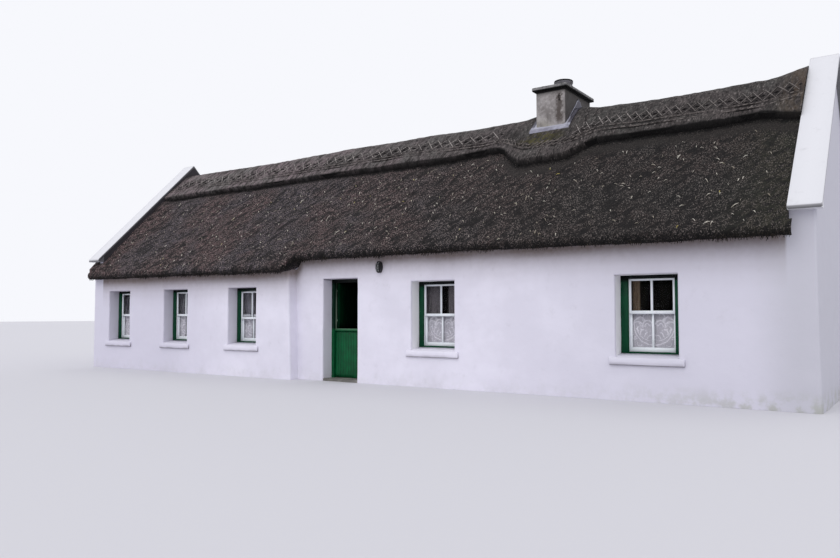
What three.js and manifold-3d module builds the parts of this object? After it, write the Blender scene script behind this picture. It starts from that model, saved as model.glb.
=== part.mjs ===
// A long, low thatched cottage with limewashed masonry walls, a half door, five front windows,
// raised gable copings and one chimney on the ridge.
// Millimetres. X runs along the front wall to the right, the front faces -Y, +Z is up.
// The origin is on the ground under the middle of the ridge.
import * as THREE from "three";
import { mergeVertices } from "three/addons/utils/BufferGeometryUtils.js";
import Module from "manifold-3d";

const wasm = await Module();
wasm.setup();

// Seats and joints between pieces
const GAP = 0.3;
const SEAT_GAP = 0.5; // vertical gap under a sloping seat, 0.35 square to the slope

// Masonry
const WALL = 550;
const LEFT_END = -8200;
const RIGHT_END = 8170;
const STEP_X = -1380; // where the thicker left part ends
const FACE_LEFT = 2734; // outer faces, measured from the ridge line
const FACE_RIGHT = 2500;
const GABLE_WALL = 500;
const UPSTAND_LEFT = -7850; // inner faces of the gable upstands, which the thatch meets
const UPSTAND_RIGHT = 7850;
const STEP_BATTER = 80;
const FLOOR_TOP = 50;

// Thatch
const CREST = 5280; // height that the slopes are laid out from, near that of the ridge
const RIDGE_DROP = 100; // main coat below the ridge block at the crest
const PITCH = 1.03; // rise over run, 45.9 degrees
const UNDER_APEX = 4880; // apex of the underside
const SEAT_WIDTH = 156; // level seat on the outer edge of the wall head
const EAVE_LEFT_END = 2945; // how far out the eaves reach, going from left to right
const EAVE_AT_STEP = 2990;
const EAVE_MIDDLE = 2755;
const EAVE_RIGHT_END = 2788;
const EAVE_CORNER = -8165; // the left eaves run on past the gable's corner to here
const STEP_RUN = 240; // length over which the eave steps back and up
const NOSE = [
  [14, -45],
  [0, -92],
  [-34, -118],
];
// Height of the crest at places along the ridge, which swells at the chimney and sweeps up on the right
const CREST_LINE = [
  [-7900, 5232],
  [-6300, 5228],
  [-4600, 5221],
  [-3000, 5238],
  [-1900, 5266],
  [-900, 5257],
  [200, 5264],
  [1550, 5241],
  [2500, 5255],
  [3100, 5320],
  [3900, 5335],
  [4300, 5282],
  [5500, 5257],
  [7150, 5279],
  [7900, 5404],
];

// Ridge block and its deep apron under the chimney: distance of its lower edge from the ridge line
const APRON_LINE = [
  [-7900, 970],
  [-5760, 945],
  [-4000, 950],
  [-1945, 960],
  [-120, 980],
  [925, 980],
  [2450, 915],
  [3200, 1350],
  [3900, 1345],
  [4560, 1035],
  [5500, 1015],
  [6530, 1025],
  [7200, 985],
  [7850, 1190],
];
const RIDGE_ROUND = 250;
const THATCH_ROUND = 200;
const RIDGE_CUT = 95; // how far the cut edge of the block leans in

// Copings
const COPING_APEX = 5540;
const COPING_DEPTH = 65; // measured plumb
const COPING_EDGE = 8270; // outer edges, to each side; the inner edges are flush with the upstands
const COPING_FOOT_RIGHT = { reach: 2670, top: 2790 };
const COPING_FOOT_LEFT = { reach: 2880, top: 2710 };

// Chimney
const CHIMNEY_X = 3465;
const STACK_HALF = { x: 295, y: 620 };
const STACK_FOOT = 4000;
const STACK_TOP = 5631;
const FLUE_HALF = 125;
const CAP_LIP = 62;
const CAP_THICK = 63;
const POT_RADIUS = 182;
const POT_WALL = 30;
const POT_HEIGHT = 250;
const LEAD_HALF = { x: 400, y: 705 };
const LEAD_THICK = 25; // as bedded, folded edges and all
const LEAD_APEX = 5540; // the upstand's top edge falls to both sides from here
const LEAD_FALL = 0.985;

// Windows, numbered from the left, and the plainer ones behind
const HEAD_LEFT = 1900;
const HEAD_RIGHT = 1930;
const OPENING_BOTTOM = 550;
const SILL_INNER_TOP = 708;
const SILL_OUTER_TOP = 652;
const SILL_OUT = 50;
const SILL_EAR = 80;
const REVEAL = 250;
// The frame is the breadth of the box frame's sides, the meet the foot of the upper sash
const WINDOWS = [
  { x: -7140, width: 860, face: FACE_LEFT, head: HEAD_LEFT, frame: 100, meet: 1278 },
  { x: -4970, width: 860, face: FACE_LEFT, head: HEAD_LEFT, frame: 100, meet: 1278 },
  { x: -2740, width: 880, face: FACE_LEFT, head: HEAD_LEFT, frame: 100, meet: 1278 },
  { x: 1995, width: 950, face: FACE_RIGHT, head: HEAD_RIGHT, frame: 100, meet: 1283 },
  { x: 5864, width: 972, face: FACE_RIGHT, head: HEAD_RIGHT, frame: 122, meet: 1325 },
];
const BACK_WINDOWS = [WINDOWS[1], WINDOWS[3], WINDOWS[4]];
const BOX_FRAME = { head: 62, foot: 28, deep: 128 };
const UPPER_SASH = { from: 30, to: 71 };
const LOWER_SASH = { from: 75.6, to: 116.6 };
const SASH = { stile: 40, top: 26, meeting: 44, bottom: 65, bar: 28 };
const CURTAIN = { thick: 8, over: 34 }; // it reaches over the foot of the upper sash

// Doorway and its two half leaves
const DOOR_LEFT = -633;
const DOOR_RIGHT = 264;
const DOOR_HEAD = 2030;
const DOOR_SET_BACK = 250;
const DOOR_FRAME = { side: 60, head: 60, deep: 95, stop: 14, stopDeep: 45 };
const LEAF = { thick: 45, hingeGap: 5, shutGap: 8, foot: 60, top: 1030 };
const UPPER_LEAF = { foot: 1040, top: 1955 };
const LEDGE = { out: 30, tall: 42, inset: 24 };
const KNUCKLE = { radius: 7, tall: 34, flap: 55, flapThick: 3 };
const LOWER_HINGES = [220, 850];
const UPPER_HINGES = [1180, 1780];

// Bulkhead lamp beside the door
const LAMP = { x: 815, z: 2210, halfWidth: 62, halfHeight: 108, plate: 22, globe: 68 };

// Smooth step from 0 to 1
function ease(t) {
  const c = Math.min(1, Math.max(0, t));
  return c * c * (3 - 2 * c);
}

function mix(a, b, t) {
  return a + (b - a) * t;
}

function span(a, b) {
  return [Math.min(a, b), Math.max(a, b)];
}

// Height read from a line of [x, value] places, eased from one to the next
function along(line, x) {
  const next = line.findIndex(([at]) => at >= x);
  if (next <= 0) {
    return line[next === 0 ? 0 : line.length - 1][1];
  }
  const [x0, v0] = line[next - 1];
  const [x1, v1] = line[next];
  return mix(v0, v1, ease((x - x0) / (x1 - x0)));
}

// Rise of the crest above the height that the slopes are laid out from, fading out down them
function crestLift(x, d) {
  return (along(CREST_LINE, x) - CREST) * (1 - ease(d / 2400));
}

// Top of the main coat at distance d from the ridge line
function thatchTop(x, d) {
  const fall = Math.hypot(PITCH * d, THATCH_ROUND) - THATCH_ROUND;
  return CREST + crestLift(x, d) - RIDGE_DROP - fall;
}

// Top of the ridge block
function ridgeTop(x, d) {
  return CREST + crestLift(x, d) - (Math.hypot(d, RIDGE_ROUND) - RIDGE_ROUND);
}

// 0 on the thick left part of the house, 1 on the right part
function stepShare(x) {
  return ease((x - STEP_X) / STEP_RUN);
}

function eaveReach(x) {
  const left = mix(EAVE_LEFT_END, EAVE_AT_STEP, ease((x - LEFT_END) / (STEP_X - LEFT_END)));
  const right = mix(EAVE_MIDDLE, EAVE_RIGHT_END, ease((x - 1500) / (UPSTAND_RIGHT - 1500)));
  return mix(left, right, stepShare(x));
}

function wallFace(x) {
  return mix(FACE_LEFT, FACE_RIGHT, stepShare(x));
}

function underside(d) {
  return UNDER_APEX - PITCH * d;
}

// Closed mesh to solid, and back
function solid(geometry) {
  const bare = geometry.clone();
  bare.deleteAttribute("normal");
  bare.deleteAttribute("uv");
  const merged = mergeVertices(bare, 1e-3);
  return new wasm.Manifold(
    new wasm.Mesh({
      numProp: 3,
      vertProperties: merged.attributes.position.array,
      triVerts: new Uint32Array(merged.index.array),
    }),
  );
}

function geometryOf(body) {
  const mesh = body.getMesh();
  const stride = mesh.numProp;
  const places = new Float32Array(mesh.numVert * 3);
  for (let i = 0; i < mesh.numVert; i++) {
    places.set(mesh.vertProperties.subarray(i * stride, i * stride + 3), i * 3);
  }
  const geometry = new THREE.BufferGeometry();
  geometry.setAttribute("position", new THREE.BufferAttribute(places, 3));
  geometry.setIndex(new THREE.BufferAttribute(new Uint32Array(mesh.triVerts), 1));
  geometry.computeVertexNormals();
  return geometry;
}

function join(...bodies) {
  return bodies.reduce((all, body) => all.add(body));
}

function cut(body, ...cutters) {
  return cutters.reduce((rest, cutter) => rest.subtract(cutter), body);
}

function block(x0, x1, y0, y1, z0, z1) {
  const box = new THREE.BoxGeometry(x1 - x0, y1 - y0, z1 - z0);
  box.translate((x0 + x1) / 2, (y0 + y1) / 2, (z0 + z1) / 2);
  return solid(box);
}

// A section drawn in (y, z), run from x0 to x1
function prism(section, x0, x1) {
  const shape = new THREE.Shape(section.map(([y, z]) => new THREE.Vector2(y, z)));
  const run = new THREE.ExtrudeGeometry(shape, { depth: x1 - x0, bevelEnabled: false });
  const turn = new THREE.Matrix4().makeBasis(
    new THREE.Vector3(0, 1, 0),
    new THREE.Vector3(0, 0, 1),
    new THREE.Vector3(1, 0, 0),
  );
  run.applyMatrix4(turn);
  run.translate(x0, 0, 0);
  return solid(run);
}

// A skin over rings of (y, z) points, each ring at its own x and counter-clockwise seen from +X
function loft(stations, ringAt) {
  const rings = stations.map((x) => ringAt(x));
  const count = rings[0].length;
  const places = rings.flatMap((ring, i) => ring.flatMap(([y, z]) => [stations[i], y, z]));
  const index = [];
  for (let i = 0; i + 1 < rings.length; i++) {
    for (let j = 0; j < count; j++) {
      const a = i * count + j;
      const b = i * count + ((j + 1) % count);
      index.push(a, b, b + count, a, b + count, a + count);
    }
  }
  const last = (rings.length - 1) * count;
  const ends = [rings[0], rings[rings.length - 1]].map((ring) =>
    THREE.ShapeUtils.triangulateShape(
      ring.map(([y, z]) => new THREE.Vector2(y, z)),
      [],
    ),
  );
  ends[0].forEach(([a, b, c]) => index.push(a, c, b));
  ends[1].forEach(([a, b, c]) => index.push(last + a, last + b, last + c));
  const skin = new THREE.BufferGeometry();
  skin.setAttribute("position", new THREE.Float32BufferAttribute(places, 3));
  skin.setIndex(index);
  return solid(skin);
}

// Places along the house: even steps, with more where the shape turns
function stationsOf(from, to, step, extra) {
  const count = Math.round((to - from) / step);
  const even = Array.from({ length: count + 1 }, (_, i) => from + ((to - from) * i) / count);
  const clear = even.filter((x) => extra.every((e) => Math.abs(e - x) > 60) || x === from || x === to);
  return [...clear, ...extra].sort((a, b) => a - b);
}

// The whole coat of thatch in one piece, both slopes
function thatchRing(x) {
  const reach = eaveReach(x);
  const face = wallFace(x);
  const seat = face - SEAT_WIDTH;
  const slope = [100, 240, 480, 900, 1500, 2200, reach].map((d) => [d, thatchTop(x, d)]);
  const nose = NOSE.map(([out, down]) => [reach + out, thatchTop(x, reach) + down]);
  const below = [
    [face, underside(seat)],
    [seat, underside(seat)],
  ];
  const half = [...slope, ...nose, ...below];
  const back = half.slice().reverse();
  const front = half.map(([d, z]) => [-d, z]);
  return [[0, UNDER_APEX], ...back, [0, thatchTop(x, 0)], ...front];
}

function wholeThatch() {
  const extra = [STEP_X, STEP_X + 80, STEP_X + 160, STEP_X + STEP_RUN, 7150, 7500];
  const coat = loft(stationsOf(EAVE_CORNER, UPSTAND_RIGHT - GAP, 1000, extra), thatchRing);
  const face = FACE_LEFT + GAP;
  return cut(coat, block(EAVE_CORNER - 100, UPSTAND_LEFT + GAP, -face, face, 0, 7000));
}

function chimneyShaft(spare) {
  const halfX = STACK_HALF.x + spare;
  const halfY = STACK_HALF.y + spare;
  return block(CHIMNEY_X - halfX, CHIMNEY_X + halfX, -halfY, halfY, 0, 7000);
}

function ridgeRing(x) {
  const edge = along(APRON_LINE, x);
  const shares = [-1, -0.72, -0.45, -0.22, -0.08, 0.08, 0.22, 0.45, 0.72, 1];
  const low = shares.map((t) => {
    const d = t * (edge - RIDGE_CUT);
    return [d, thatchTop(x, Math.abs(d)) - 40];
  });
  const high = shares.map((t) => [-t * edge, ridgeTop(x, Math.abs(t * edge))]);
  return [...low, ...high];
}

// The ridge block before its underside and the chimney's place are cut out of it
function ridgeBlank() {
  const extra = [2450, 2700, 2950, 3200, 3550, 3900, 4120, 4340, 4560, 7200, 7520];
  return loft(stationsOf(UPSTAND_LEFT + GAP, UPSTAND_RIGHT - GAP, 900, extra), ridgeRing);
}

function ridgeBlock(blank, thatch) {
  return cut(blank, thatch.translate([0, 0, SEAT_GAP]), chimneyShaft(GAP));
}

function thatchHalf(thatch, side) {
  const slab = side < 0 ? [-4000, -GAP / 2] : [GAP / 2, 4000];
  return cut(thatch.intersect(block(-9000, 9000, ...slab, 0, 7000)), chimneyShaft(GAP));
}

// Section of a long wall, its head taken up into the thatch that is then cut away
function longWallSection(face, side) {
  const inner = face - WALL;
  const seat = underside(face - SEAT_WIDTH);
  const half = [
    [face, 0],
    [face, seat + 100],
    [inner, underside(inner) + 150],
    [inner, 0],
  ];
  return half.map(([d, z]) => [side * d, z]);
}

function longWall(x0, x1, face, side) {
  return prism(longWallSection(face, side), x0, x1);
}

// Everything between y0 and y1 from the ridge line, on the front (-1) or the back (1)
function sideBlock(x0, x1, d0, d1, z0, z1, side) {
  const [y0, y1] = side < 0 ? [-d1, -d0] : [d0, d1];
  return block(x0, x1, y0, y1, z0, z1);
}

function windowHole(w, side) {
  const half = w.width / 2;
  const out = w.face + 100;
  return sideBlock(w.x - half, w.x + half, w.face - WALL - 100, out, OPENING_BOTTOM, w.head, side);
}

// Concrete sill bedded in the opening, weathered on top, with ears past the reveals
function sill(w, side) {
  const half = w.width / 2;
  const bed = w.face - REVEAL - BOX_FRAME.deep;
  const section = [
    [w.face + SILL_OUT, OPENING_BOTTOM],
    [w.face + SILL_OUT, SILL_OUTER_TOP],
    [w.face - REVEAL, SILL_INNER_TOP],
    [bed, SILL_INNER_TOP],
    [bed, OPENING_BOTTOM],
  ];
  const placed = section.map(([d, z]) => [side * d, z]);
  const slab = prism(placed, w.x - half - SILL_EAR, w.x + half + SILL_EAR);
  const below = sideBlock(w.x - half, w.x + half, bed, w.face, OPENING_BOTTOM - 10, OPENING_BOTTOM + 10, side);
  return join(slab, below);
}

// Foot of the thicker left part, leaning out along its end
function stepBatter(side) {
  const wedge = new THREE.Shape([
    new THREE.Vector2(STEP_X - 40, 0),
    new THREE.Vector2(STEP_X + STEP_BATTER, 0),
    new THREE.Vector2(STEP_X, 2300),
    new THREE.Vector2(STEP_X - 40, 2300),
  ]);
  const depth = FACE_LEFT - FACE_RIGHT - GAP;
  const run = new THREE.ExtrudeGeometry(wedge, { depth, bevelEnabled: false });
  run.rotateX(Math.PI / 2);
  run.translate(0, side < 0 ? -FACE_RIGHT - GAP : FACE_LEFT, 0);
  return solid(run);
}

function leftLongWall(windows, side, under) {
  const body = join(
    longWall(LEFT_END + GABLE_WALL + GAP, STEP_X - GAP, FACE_LEFT, side),
    stepBatter(side),
  );
  return walledWindows(cut(body, under), windows, side);
}

function walledWindows(wall, windows, side) {
  const open = cut(wall, ...windows.map((w) => windowHole(w, side)));
  return join(open, ...windows.map((w) => sill(w, side)));
}

function frontWallMiddle(under) {
  return cut(longWall(STEP_X, DOOR_LEFT, FACE_RIGHT, -1), under);
}

function frontWallRight(under) {
  const body = longWall(DOOR_RIGHT, RIGHT_END - GABLE_WALL - GAP, FACE_RIGHT, -1);
  return walledWindows(cut(body, under), WINDOWS.slice(3), -1);
}

function frontWallDoorHead(under) {
  const body = longWall(DOOR_LEFT + GAP, DOOR_RIGHT - GAP, FACE_RIGHT, -1);
  return cut(body, under, block(-2000, 2000, -4000, 0, -100, DOOR_HEAD));
}

function backWallRight(under) {
  const body = longWall(STEP_X, RIGHT_END - GABLE_WALL - GAP, FACE_RIGHT, 1);
  return walledWindows(cut(body, under), BACK_WINDOWS.slice(1), 1);
}

// Slope line of a coping's underside, dropped from its top
function copingLine(foot) {
  const fall = (COPING_APEX - foot.top) / foot.reach;
  return (d) => COPING_APEX - COPING_DEPTH - fall * d;
}

// Gable wall: a thick wall under the thatch and a thinner upstand beyond it that carries the coping
function gableWall(face, foot, outer, upstand, inner, under) {
  const line = copingLine(foot);
  const high = [
    [-face, 0],
    [face, 0],
    [face, line(face) - SEAT_GAP],
    [0, line(0) - SEAT_GAP],
    [-face, line(face) - SEAT_GAP],
  ];
  const seat = underside(face - SEAT_WIDTH) + 100;
  const low = [
    [-face, 0],
    [face, 0],
    [face, seat],
    [0, UNDER_APEX + 100],
    [-face, seat],
  ];
  const overlap = upstand + Math.sign(outer) * 80;
  const thick = prism(low, ...span(inner, overlap));
  const thin = prism(high, ...span(outer, upstand));
  return join(cut(thick, under), thin);
}

// Coping: a flat slab down both slopes, each with a foot that oversails the corner on a level bed
function coping(face, foot, upstand) {
  const line = copingLine(foot);
  const bed = foot.top - COPING_DEPTH;
  const section = [
    [-foot.reach, bed],
    [-face - GAP, bed],
    [-face - GAP, line(face + GAP)],
    [0, line(0)],
    [face + GAP, line(face + GAP)],
    [face + GAP, bed],
    [foot.reach, bed],
    [foot.reach, foot.top],
    [0, COPING_APEX],
    [-foot.reach, foot.top],
  ];
  const edge = Math.sign(upstand) * COPING_EDGE;
  return prism(section, ...span(edge, upstand));
}

// Chimney
function chimneyBreast() {
  const { x, y } = STACK_HALF;
  return block(CHIMNEY_X - x, CHIMNEY_X + x, -y, y, FLOOR_TOP + GAP, STACK_FOOT - GAP);
}

function flue(z0, z1) {
  return block(CHIMNEY_X - FLUE_HALF, CHIMNEY_X + FLUE_HALF, -FLUE_HALF, FLUE_HALF, z0, z1);
}

function chimneyStack() {
  const { x, y } = STACK_HALF;
  const shaft = block(CHIMNEY_X - x, CHIMNEY_X + x, -y, y, STACK_FOOT, STACK_TOP);
  return cut(shaft, flue(STACK_FOOT - 10, STACK_TOP + 10));
}

function chimneyCap() {
  const halfX = STACK_HALF.x + CAP_LIP;
  const halfY = STACK_HALF.y + CAP_LIP;
  const slab = block(
    CHIMNEY_X - halfX,
    CHIMNEY_X + halfX,
    -halfY,
    halfY,
    STACK_TOP + GAP,
    STACK_TOP + GAP + CAP_THICK,
  );
  return cut(slab, flue(STACK_TOP - 10, STACK_TOP + CAP_THICK + 10));
}

function chimneyPot() {
  const foot = STACK_TOP + 2 * GAP + CAP_THICK;
  const inside = POT_RADIUS - POT_WALL;
  const profile = [
    [inside, foot],
    [POT_RADIUS - 8, foot],
    [POT_RADIUS - 14, foot + POT_HEIGHT - 60],
    [POT_RADIUS, foot + POT_HEIGHT - 48],
    [POT_RADIUS, foot + POT_HEIGHT],
    [inside, foot + POT_HEIGHT],
    [inside, foot],
  ].map(([r, z]) => new THREE.Vector2(r, z));
  const pot = new THREE.LatheGeometry(profile, 32);
  pot.rotateX(Math.PI / 2);
  pot.translate(CHIMNEY_X, 0, 0);
  return solid(pot);
}

// Lead: an upstand round the foot of the stack and an apron dressed down on the ridge block
function leadPrism(halfX, halfY, heightAt) {
  const steps = [1, 0.93, 0.78, 0.64, 0.5, 0.37, 0.27, 0.17, 0.085].map((share) => share * halfY);
  const rises = steps.map((d) => [d, heightAt(d)]);
  const falls = rises.map(([d, z]) => [-d, z]).reverse();
  const foot = underside(halfY) + 300;
  const low = [[-halfY, foot], [0, ridgeTop(CHIMNEY_X, 0) - 300], [halfY, foot]];
  const section = [...low, ...rises, [0, heightAt(0)], ...falls];
  return prism(section, CHIMNEY_X - halfX, CHIMNEY_X + halfX);
}

function chimneyFlashing(blank, thatch) {
  const { x, y } = LEAD_HALF;
  const apron = leadPrism(x, y, (d) => ridgeTop(CHIMNEY_X, d) + LEAD_THICK);
  const upX = STACK_HALF.x + LEAD_THICK;
  const upY = STACK_HALF.y + LEAD_THICK;
  const upstand = leadPrism(upX, upY, (d) => LEAD_APEX - LEAD_FALL * d);
  const lifted = [blank, thatch].map((under) => under.translate([0, 0, SEAT_GAP]));
  return cut(join(apron, upstand), chimneyShaft(GAP), ...lifted);
}

// Window joinery: a box frame with an upper sash outside and a lower sash behind it
function sashFrame(x0, x1, z0, z1, top, bottom, d0, d1, side) {
  const centre = (x0 + x1) / 2;
  const outer = sideBlock(x0, x1, d0, d1, z0, z1, side);
  const panes = [
    [x0 + SASH.stile, centre - SASH.bar / 2],
    [centre + SASH.bar / 2, x1 - SASH.stile],
  ].map(([a, b]) => sideBlock(a, b, d0 - 5, d1 + 5, z0 + bottom, z1 - top, side));
  return cut(outer, ...panes);
}

function windowSizes(w) {
  const half = w.width / 2 - GAP;
  return {
    left: w.x - half,
    right: w.x + half,
    foot: SILL_INNER_TOP + GAP,
    top: w.head - GAP,
    front: w.face - REVEAL,
  };
}

function windowJoinery(w, side) {
  const s = windowSizes(w);
  const f = BOX_FRAME;
  const frame = cut(
    sideBlock(s.left, s.right, s.front - f.deep, s.front, s.foot, s.top, side),
    sideBlock(
      s.left + w.frame,
      s.right - w.frame,
      s.front - f.deep - 5,
      s.front + 5,
      s.foot + f.foot,
      s.top - f.head,
      side,
    ),
  );
  const inFrame = [s.left + w.frame - 2, s.right - w.frame + 2];
  const upper = sashFrame(
    ...inFrame,
    w.meet,
    s.top - f.head + 2,
    SASH.top,
    SASH.meeting,
    s.front - UPPER_SASH.to,
    s.front - UPPER_SASH.from,
    side,
  );
  const lower = sashFrame(
    ...inFrame,
    s.foot + f.foot - 2,
    w.meet + SASH.meeting,
    SASH.meeting,
    SASH.bottom,
    s.front - LOWER_SASH.to,
    s.front - LOWER_SASH.from,
    side,
  );
  return join(frame, upper, lower);
}

// One sheet held between the two sashes
function windowGlass(w, side) {
  const s = windowSizes(w);
  const f = BOX_FRAME;
  return sideBlock(
    s.left + w.frame + GAP,
    s.right - w.frame - GAP,
    s.front - LOWER_SASH.from + GAP,
    s.front - UPPER_SASH.to - GAP,
    s.foot + f.foot + GAP,
    s.top - f.head - GAP,
    side,
  );
}

// Half curtain close behind the lower sash
function windowCurtain(w) {
  const s = windowSizes(w);
  const f = BOX_FRAME;
  const hung = s.front - LOWER_SASH.to - GAP;
  return sideBlock(
    s.left + w.frame + 3,
    s.right - w.frame - 3,
    hung - CURTAIN.thick,
    hung,
    s.foot + f.foot + 12,
    w.meet + CURTAIN.over,
    -1,
  );
}

// Doorway
const DOOR_FRONT = -FACE_RIGHT + DOOR_SET_BACK;
const DOOR_INNER = DOOR_FRONT + DOOR_FRAME.deep;
const LEAF_LEFT = DOOR_LEFT + GAP + DOOR_FRAME.side + LEAF.hingeGap;
const LEAF_RIGHT = DOOR_RIGHT - GAP - DOOR_FRAME.side - LEAF.shutGap;
const HINGE_LINE = [LEAF_LEFT - LEAF.hingeGap / 2, DOOR_INNER + KNUCKLE.radius];

function doorThreshold() {
  return block(DOOR_LEFT + GAP, DOOR_RIGHT - GAP, -FACE_RIGHT, -FACE_RIGHT + WALL, 0, FLOOR_TOP);
}

function hingeBarrel(z0) {
  const barrel = new THREE.CylinderGeometry(KNUCKLE.radius, KNUCKLE.radius, KNUCKLE.tall, 20);
  barrel.rotateX(Math.PI / 2);
  barrel.translate(HINGE_LINE[0], HINGE_LINE[1], z0 + KNUCKLE.tall / 2);
  return solid(barrel);
}

// A barrel with its flap, let into the frame (-1) or into the leaf (1), in the closed position
function hingeHalf(z0, way) {
  const x0 = HINGE_LINE[0];
  const tip = x0 + way * KNUCKLE.flap;
  const edge = x0 + way * (LEAF.hingeGap / 2 + 1);
  const heights = [z0, z0 + KNUCKLE.tall];
  const plate = block(...span(x0, tip), DOOR_INNER, DOOR_INNER + KNUCKLE.flapThick, ...heights);
  const root = block(...span(edge, tip), DOOR_INNER - 4, DOOR_INNER + 1, ...heights);
  return join(plate, root, hingeBarrel(z0));
}

function doorFrame() {
  const left = DOOR_LEFT + GAP;
  const right = DOOR_RIGHT - GAP;
  const f = DOOR_FRAME;
  const outer = block(left, right, DOOR_FRONT, DOOR_INNER, FLOOR_TOP + GAP, DOOR_HEAD - GAP);
  const way = block(
    left + f.side,
    right - f.side,
    DOOR_FRONT - 5,
    DOOR_INNER + 5,
    -10,
    DOOR_HEAD - GAP - f.head,
  );
  const light = block(
    left + f.side + f.stop,
    right - f.side - f.stop,
    DOOR_FRONT - 5,
    DOOR_FRONT + f.stopDeep + 5,
    -10,
    DOOR_HEAD - GAP - f.head - f.stop,
  );
  const stops = cut(
    block(
      left + f.side - 5,
      right - f.side + 5,
      DOOR_FRONT,
      DOOR_FRONT + f.stopDeep,
      FLOOR_TOP + GAP,
      DOOR_HEAD - GAP - f.head + 5,
    ),
    light,
  );
  const halves = [...LOWER_HINGES, ...UPPER_HINGES].map((z) => hingeHalf(z, -1));
  return join(cut(outer, way), stops, ...halves);
}

function lowerDoor() {
  const face = DOOR_INNER - LEAF.thick;
  const panel = block(LEAF_LEFT, LEAF_RIGHT, face, DOOR_INNER, LEAF.foot, LEAF.top);
  const ledge = block(
    LEAF_LEFT + LEDGE.inset,
    LEAF_RIGHT - LEDGE.inset,
    face - LEDGE.out,
    face + 5,
    LEAF.top - LEDGE.tall,
    LEAF.top,
  );
  const halves = LOWER_HINGES.map((z) => hingeHalf(z + KNUCKLE.tall + GAP, 1));
  return join(panel, ledge, ...halves);
}

// The upper leaf stands open, swung in against the left reveal
function upperDoor() {
  const face = DOOR_INNER - LEAF.thick;
  const { foot, top } = UPPER_LEAF;
  const panel = block(LEAF_LEFT, LEAF_RIGHT, face, DOOR_INNER, foot, top);
  const halves = UPPER_HINGES.map((z) => hingeHalf(z + KNUCKLE.tall + GAP, 1));
  return join(panel, ...halves)
    .translate([-HINGE_LINE[0], -HINGE_LINE[1], 0])
    .rotate([0, 0, 90])
    .translate([HINGE_LINE[0], HINGE_LINE[1], 0]);
}

// Lamp: an oval plate on the wall and a domed glass on it
function lampPlate() {
  const plate = new THREE.CylinderGeometry(1, 1, LAMP.plate, 28);
  plate.scale(LAMP.halfWidth, 1, LAMP.halfHeight);
  plate.translate(LAMP.x, -FACE_RIGHT - GAP - LAMP.plate / 2, LAMP.z);
  return solid(plate);
}

function lampGlass() {
  const dome = new THREE.SphereGeometry(1, 24, 16);
  dome.scale(LAMP.halfWidth - 10, LAMP.globe, LAMP.halfHeight - 10);
  dome.translate(LAMP.x, 0, LAMP.z);
  const seat = -FACE_RIGHT - 2 * GAP - LAMP.plate;
  const placed = solid(dome).translate([0, seat, 0]);
  return cut(placed, block(0, 2000, seat, 0, 1000, 3000));
}

function floor() {
  const inner = FACE_RIGHT - WALL - GAP;
  const step = FACE_LEFT - WALL - GAP;
  const left = block(LEFT_END + GABLE_WALL + GAP, STEP_X - GAP, -step, step, 0, FLOOR_TOP);
  const right = block(STEP_X - 50, RIGHT_END - GABLE_WALL - GAP, -inner, inner, 0, FLOOR_TOP);
  return join(left, right);
}

// Finishes
function finish(color, roughness, metalness = 0) {
  return { color, roughness, metalness };
}

const LIMEWASH = finish(0xe6e4ee, 0.92);
const THATCH = finish(0x3a332d, 0.97);
const RIDGE = finish(0x5b554c, 0.97);
const COPING = finish(0xeeeef2, 0.85);
const CEMENT = finish(0x85827f, 0.93);
const CLAY = finish(0x6f6760, 0.9);
const LEAD = finish(0x8f8f9a, 0.55, 0.6);
const GREEN = finish(0x17543a, 0.4);
const WHITE = finish(0xe9ebee, 0.45);
const GLASS = finish(0x1b2023, 0.05);
const LACE = finish(0xd5d4dc, 0.95);
const FLOORING = finish(0x77726b, 0.9);
const IRON = finish(0x2a2b2c, 0.6, 0.3);
const FROST = finish(0xdde0dd, 0.3);

const cottage = new THREE.Group();

function place(name, body, look) {
  const mesh = new THREE.Mesh(geometryOf(body), new THREE.MeshStandardMaterial(look));
  mesh.name = name;
  cottage.add(mesh);
}

const thatch = wholeThatch();
const under = thatch.translate([0, 0, -SEAT_GAP]);
const blank = ridgeBlank();

place("front_wall_left", leftLongWall(WINDOWS.slice(0, 3), -1, under), LIMEWASH);
place("front_wall_middle", frontWallMiddle(under), LIMEWASH);
place("front_wall_door_head", frontWallDoorHead(under), LIMEWASH);
place("front_wall_right", frontWallRight(under), LIMEWASH);
place("back_wall_left", leftLongWall(BACK_WINDOWS.slice(0, 1), 1, under), LIMEWASH);
place("back_wall_right", backWallRight(under), LIMEWASH);
place(
  "gable_wall_left",
  gableWall(FACE_LEFT, COPING_FOOT_LEFT, LEFT_END, UPSTAND_LEFT, LEFT_END + GABLE_WALL, under),
  LIMEWASH,
);
place(
  "gable_wall_right",
  gableWall(FACE_RIGHT, COPING_FOOT_RIGHT, RIGHT_END, UPSTAND_RIGHT, RIGHT_END - GABLE_WALL, under),
  LIMEWASH,
);
place("floor_slab", floor(), FLOORING);
place("door_threshold", doorThreshold(), FLOORING);

place("thatch_front", thatchHalf(thatch, -1), THATCH);
place("thatch_back", thatchHalf(thatch, 1), THATCH);
place("ridge_block", ridgeBlock(blank, thatch), RIDGE);
place("coping_left", coping(FACE_LEFT, COPING_FOOT_LEFT, UPSTAND_LEFT), COPING);
place("coping_right", coping(FACE_RIGHT, COPING_FOOT_RIGHT, UPSTAND_RIGHT), COPING);

place("chimney_breast", chimneyBreast(), CEMENT);
place("chimney_stack", chimneyStack(), CEMENT);
place("chimney_cap", chimneyCap(), CEMENT);
place("chimney_pot", chimneyPot(), CLAY);
place("chimney_flashing", chimneyFlashing(blank, thatch), LEAD);

place("door_frame", doorFrame(), GREEN);
place("lower_door", lowerDoor(), GREEN);
place("upper_door", upperDoor(), GREEN);
place("lamp_plate", lampPlate(), IRON);
place("lamp_glass", lampGlass(), FROST);

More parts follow.
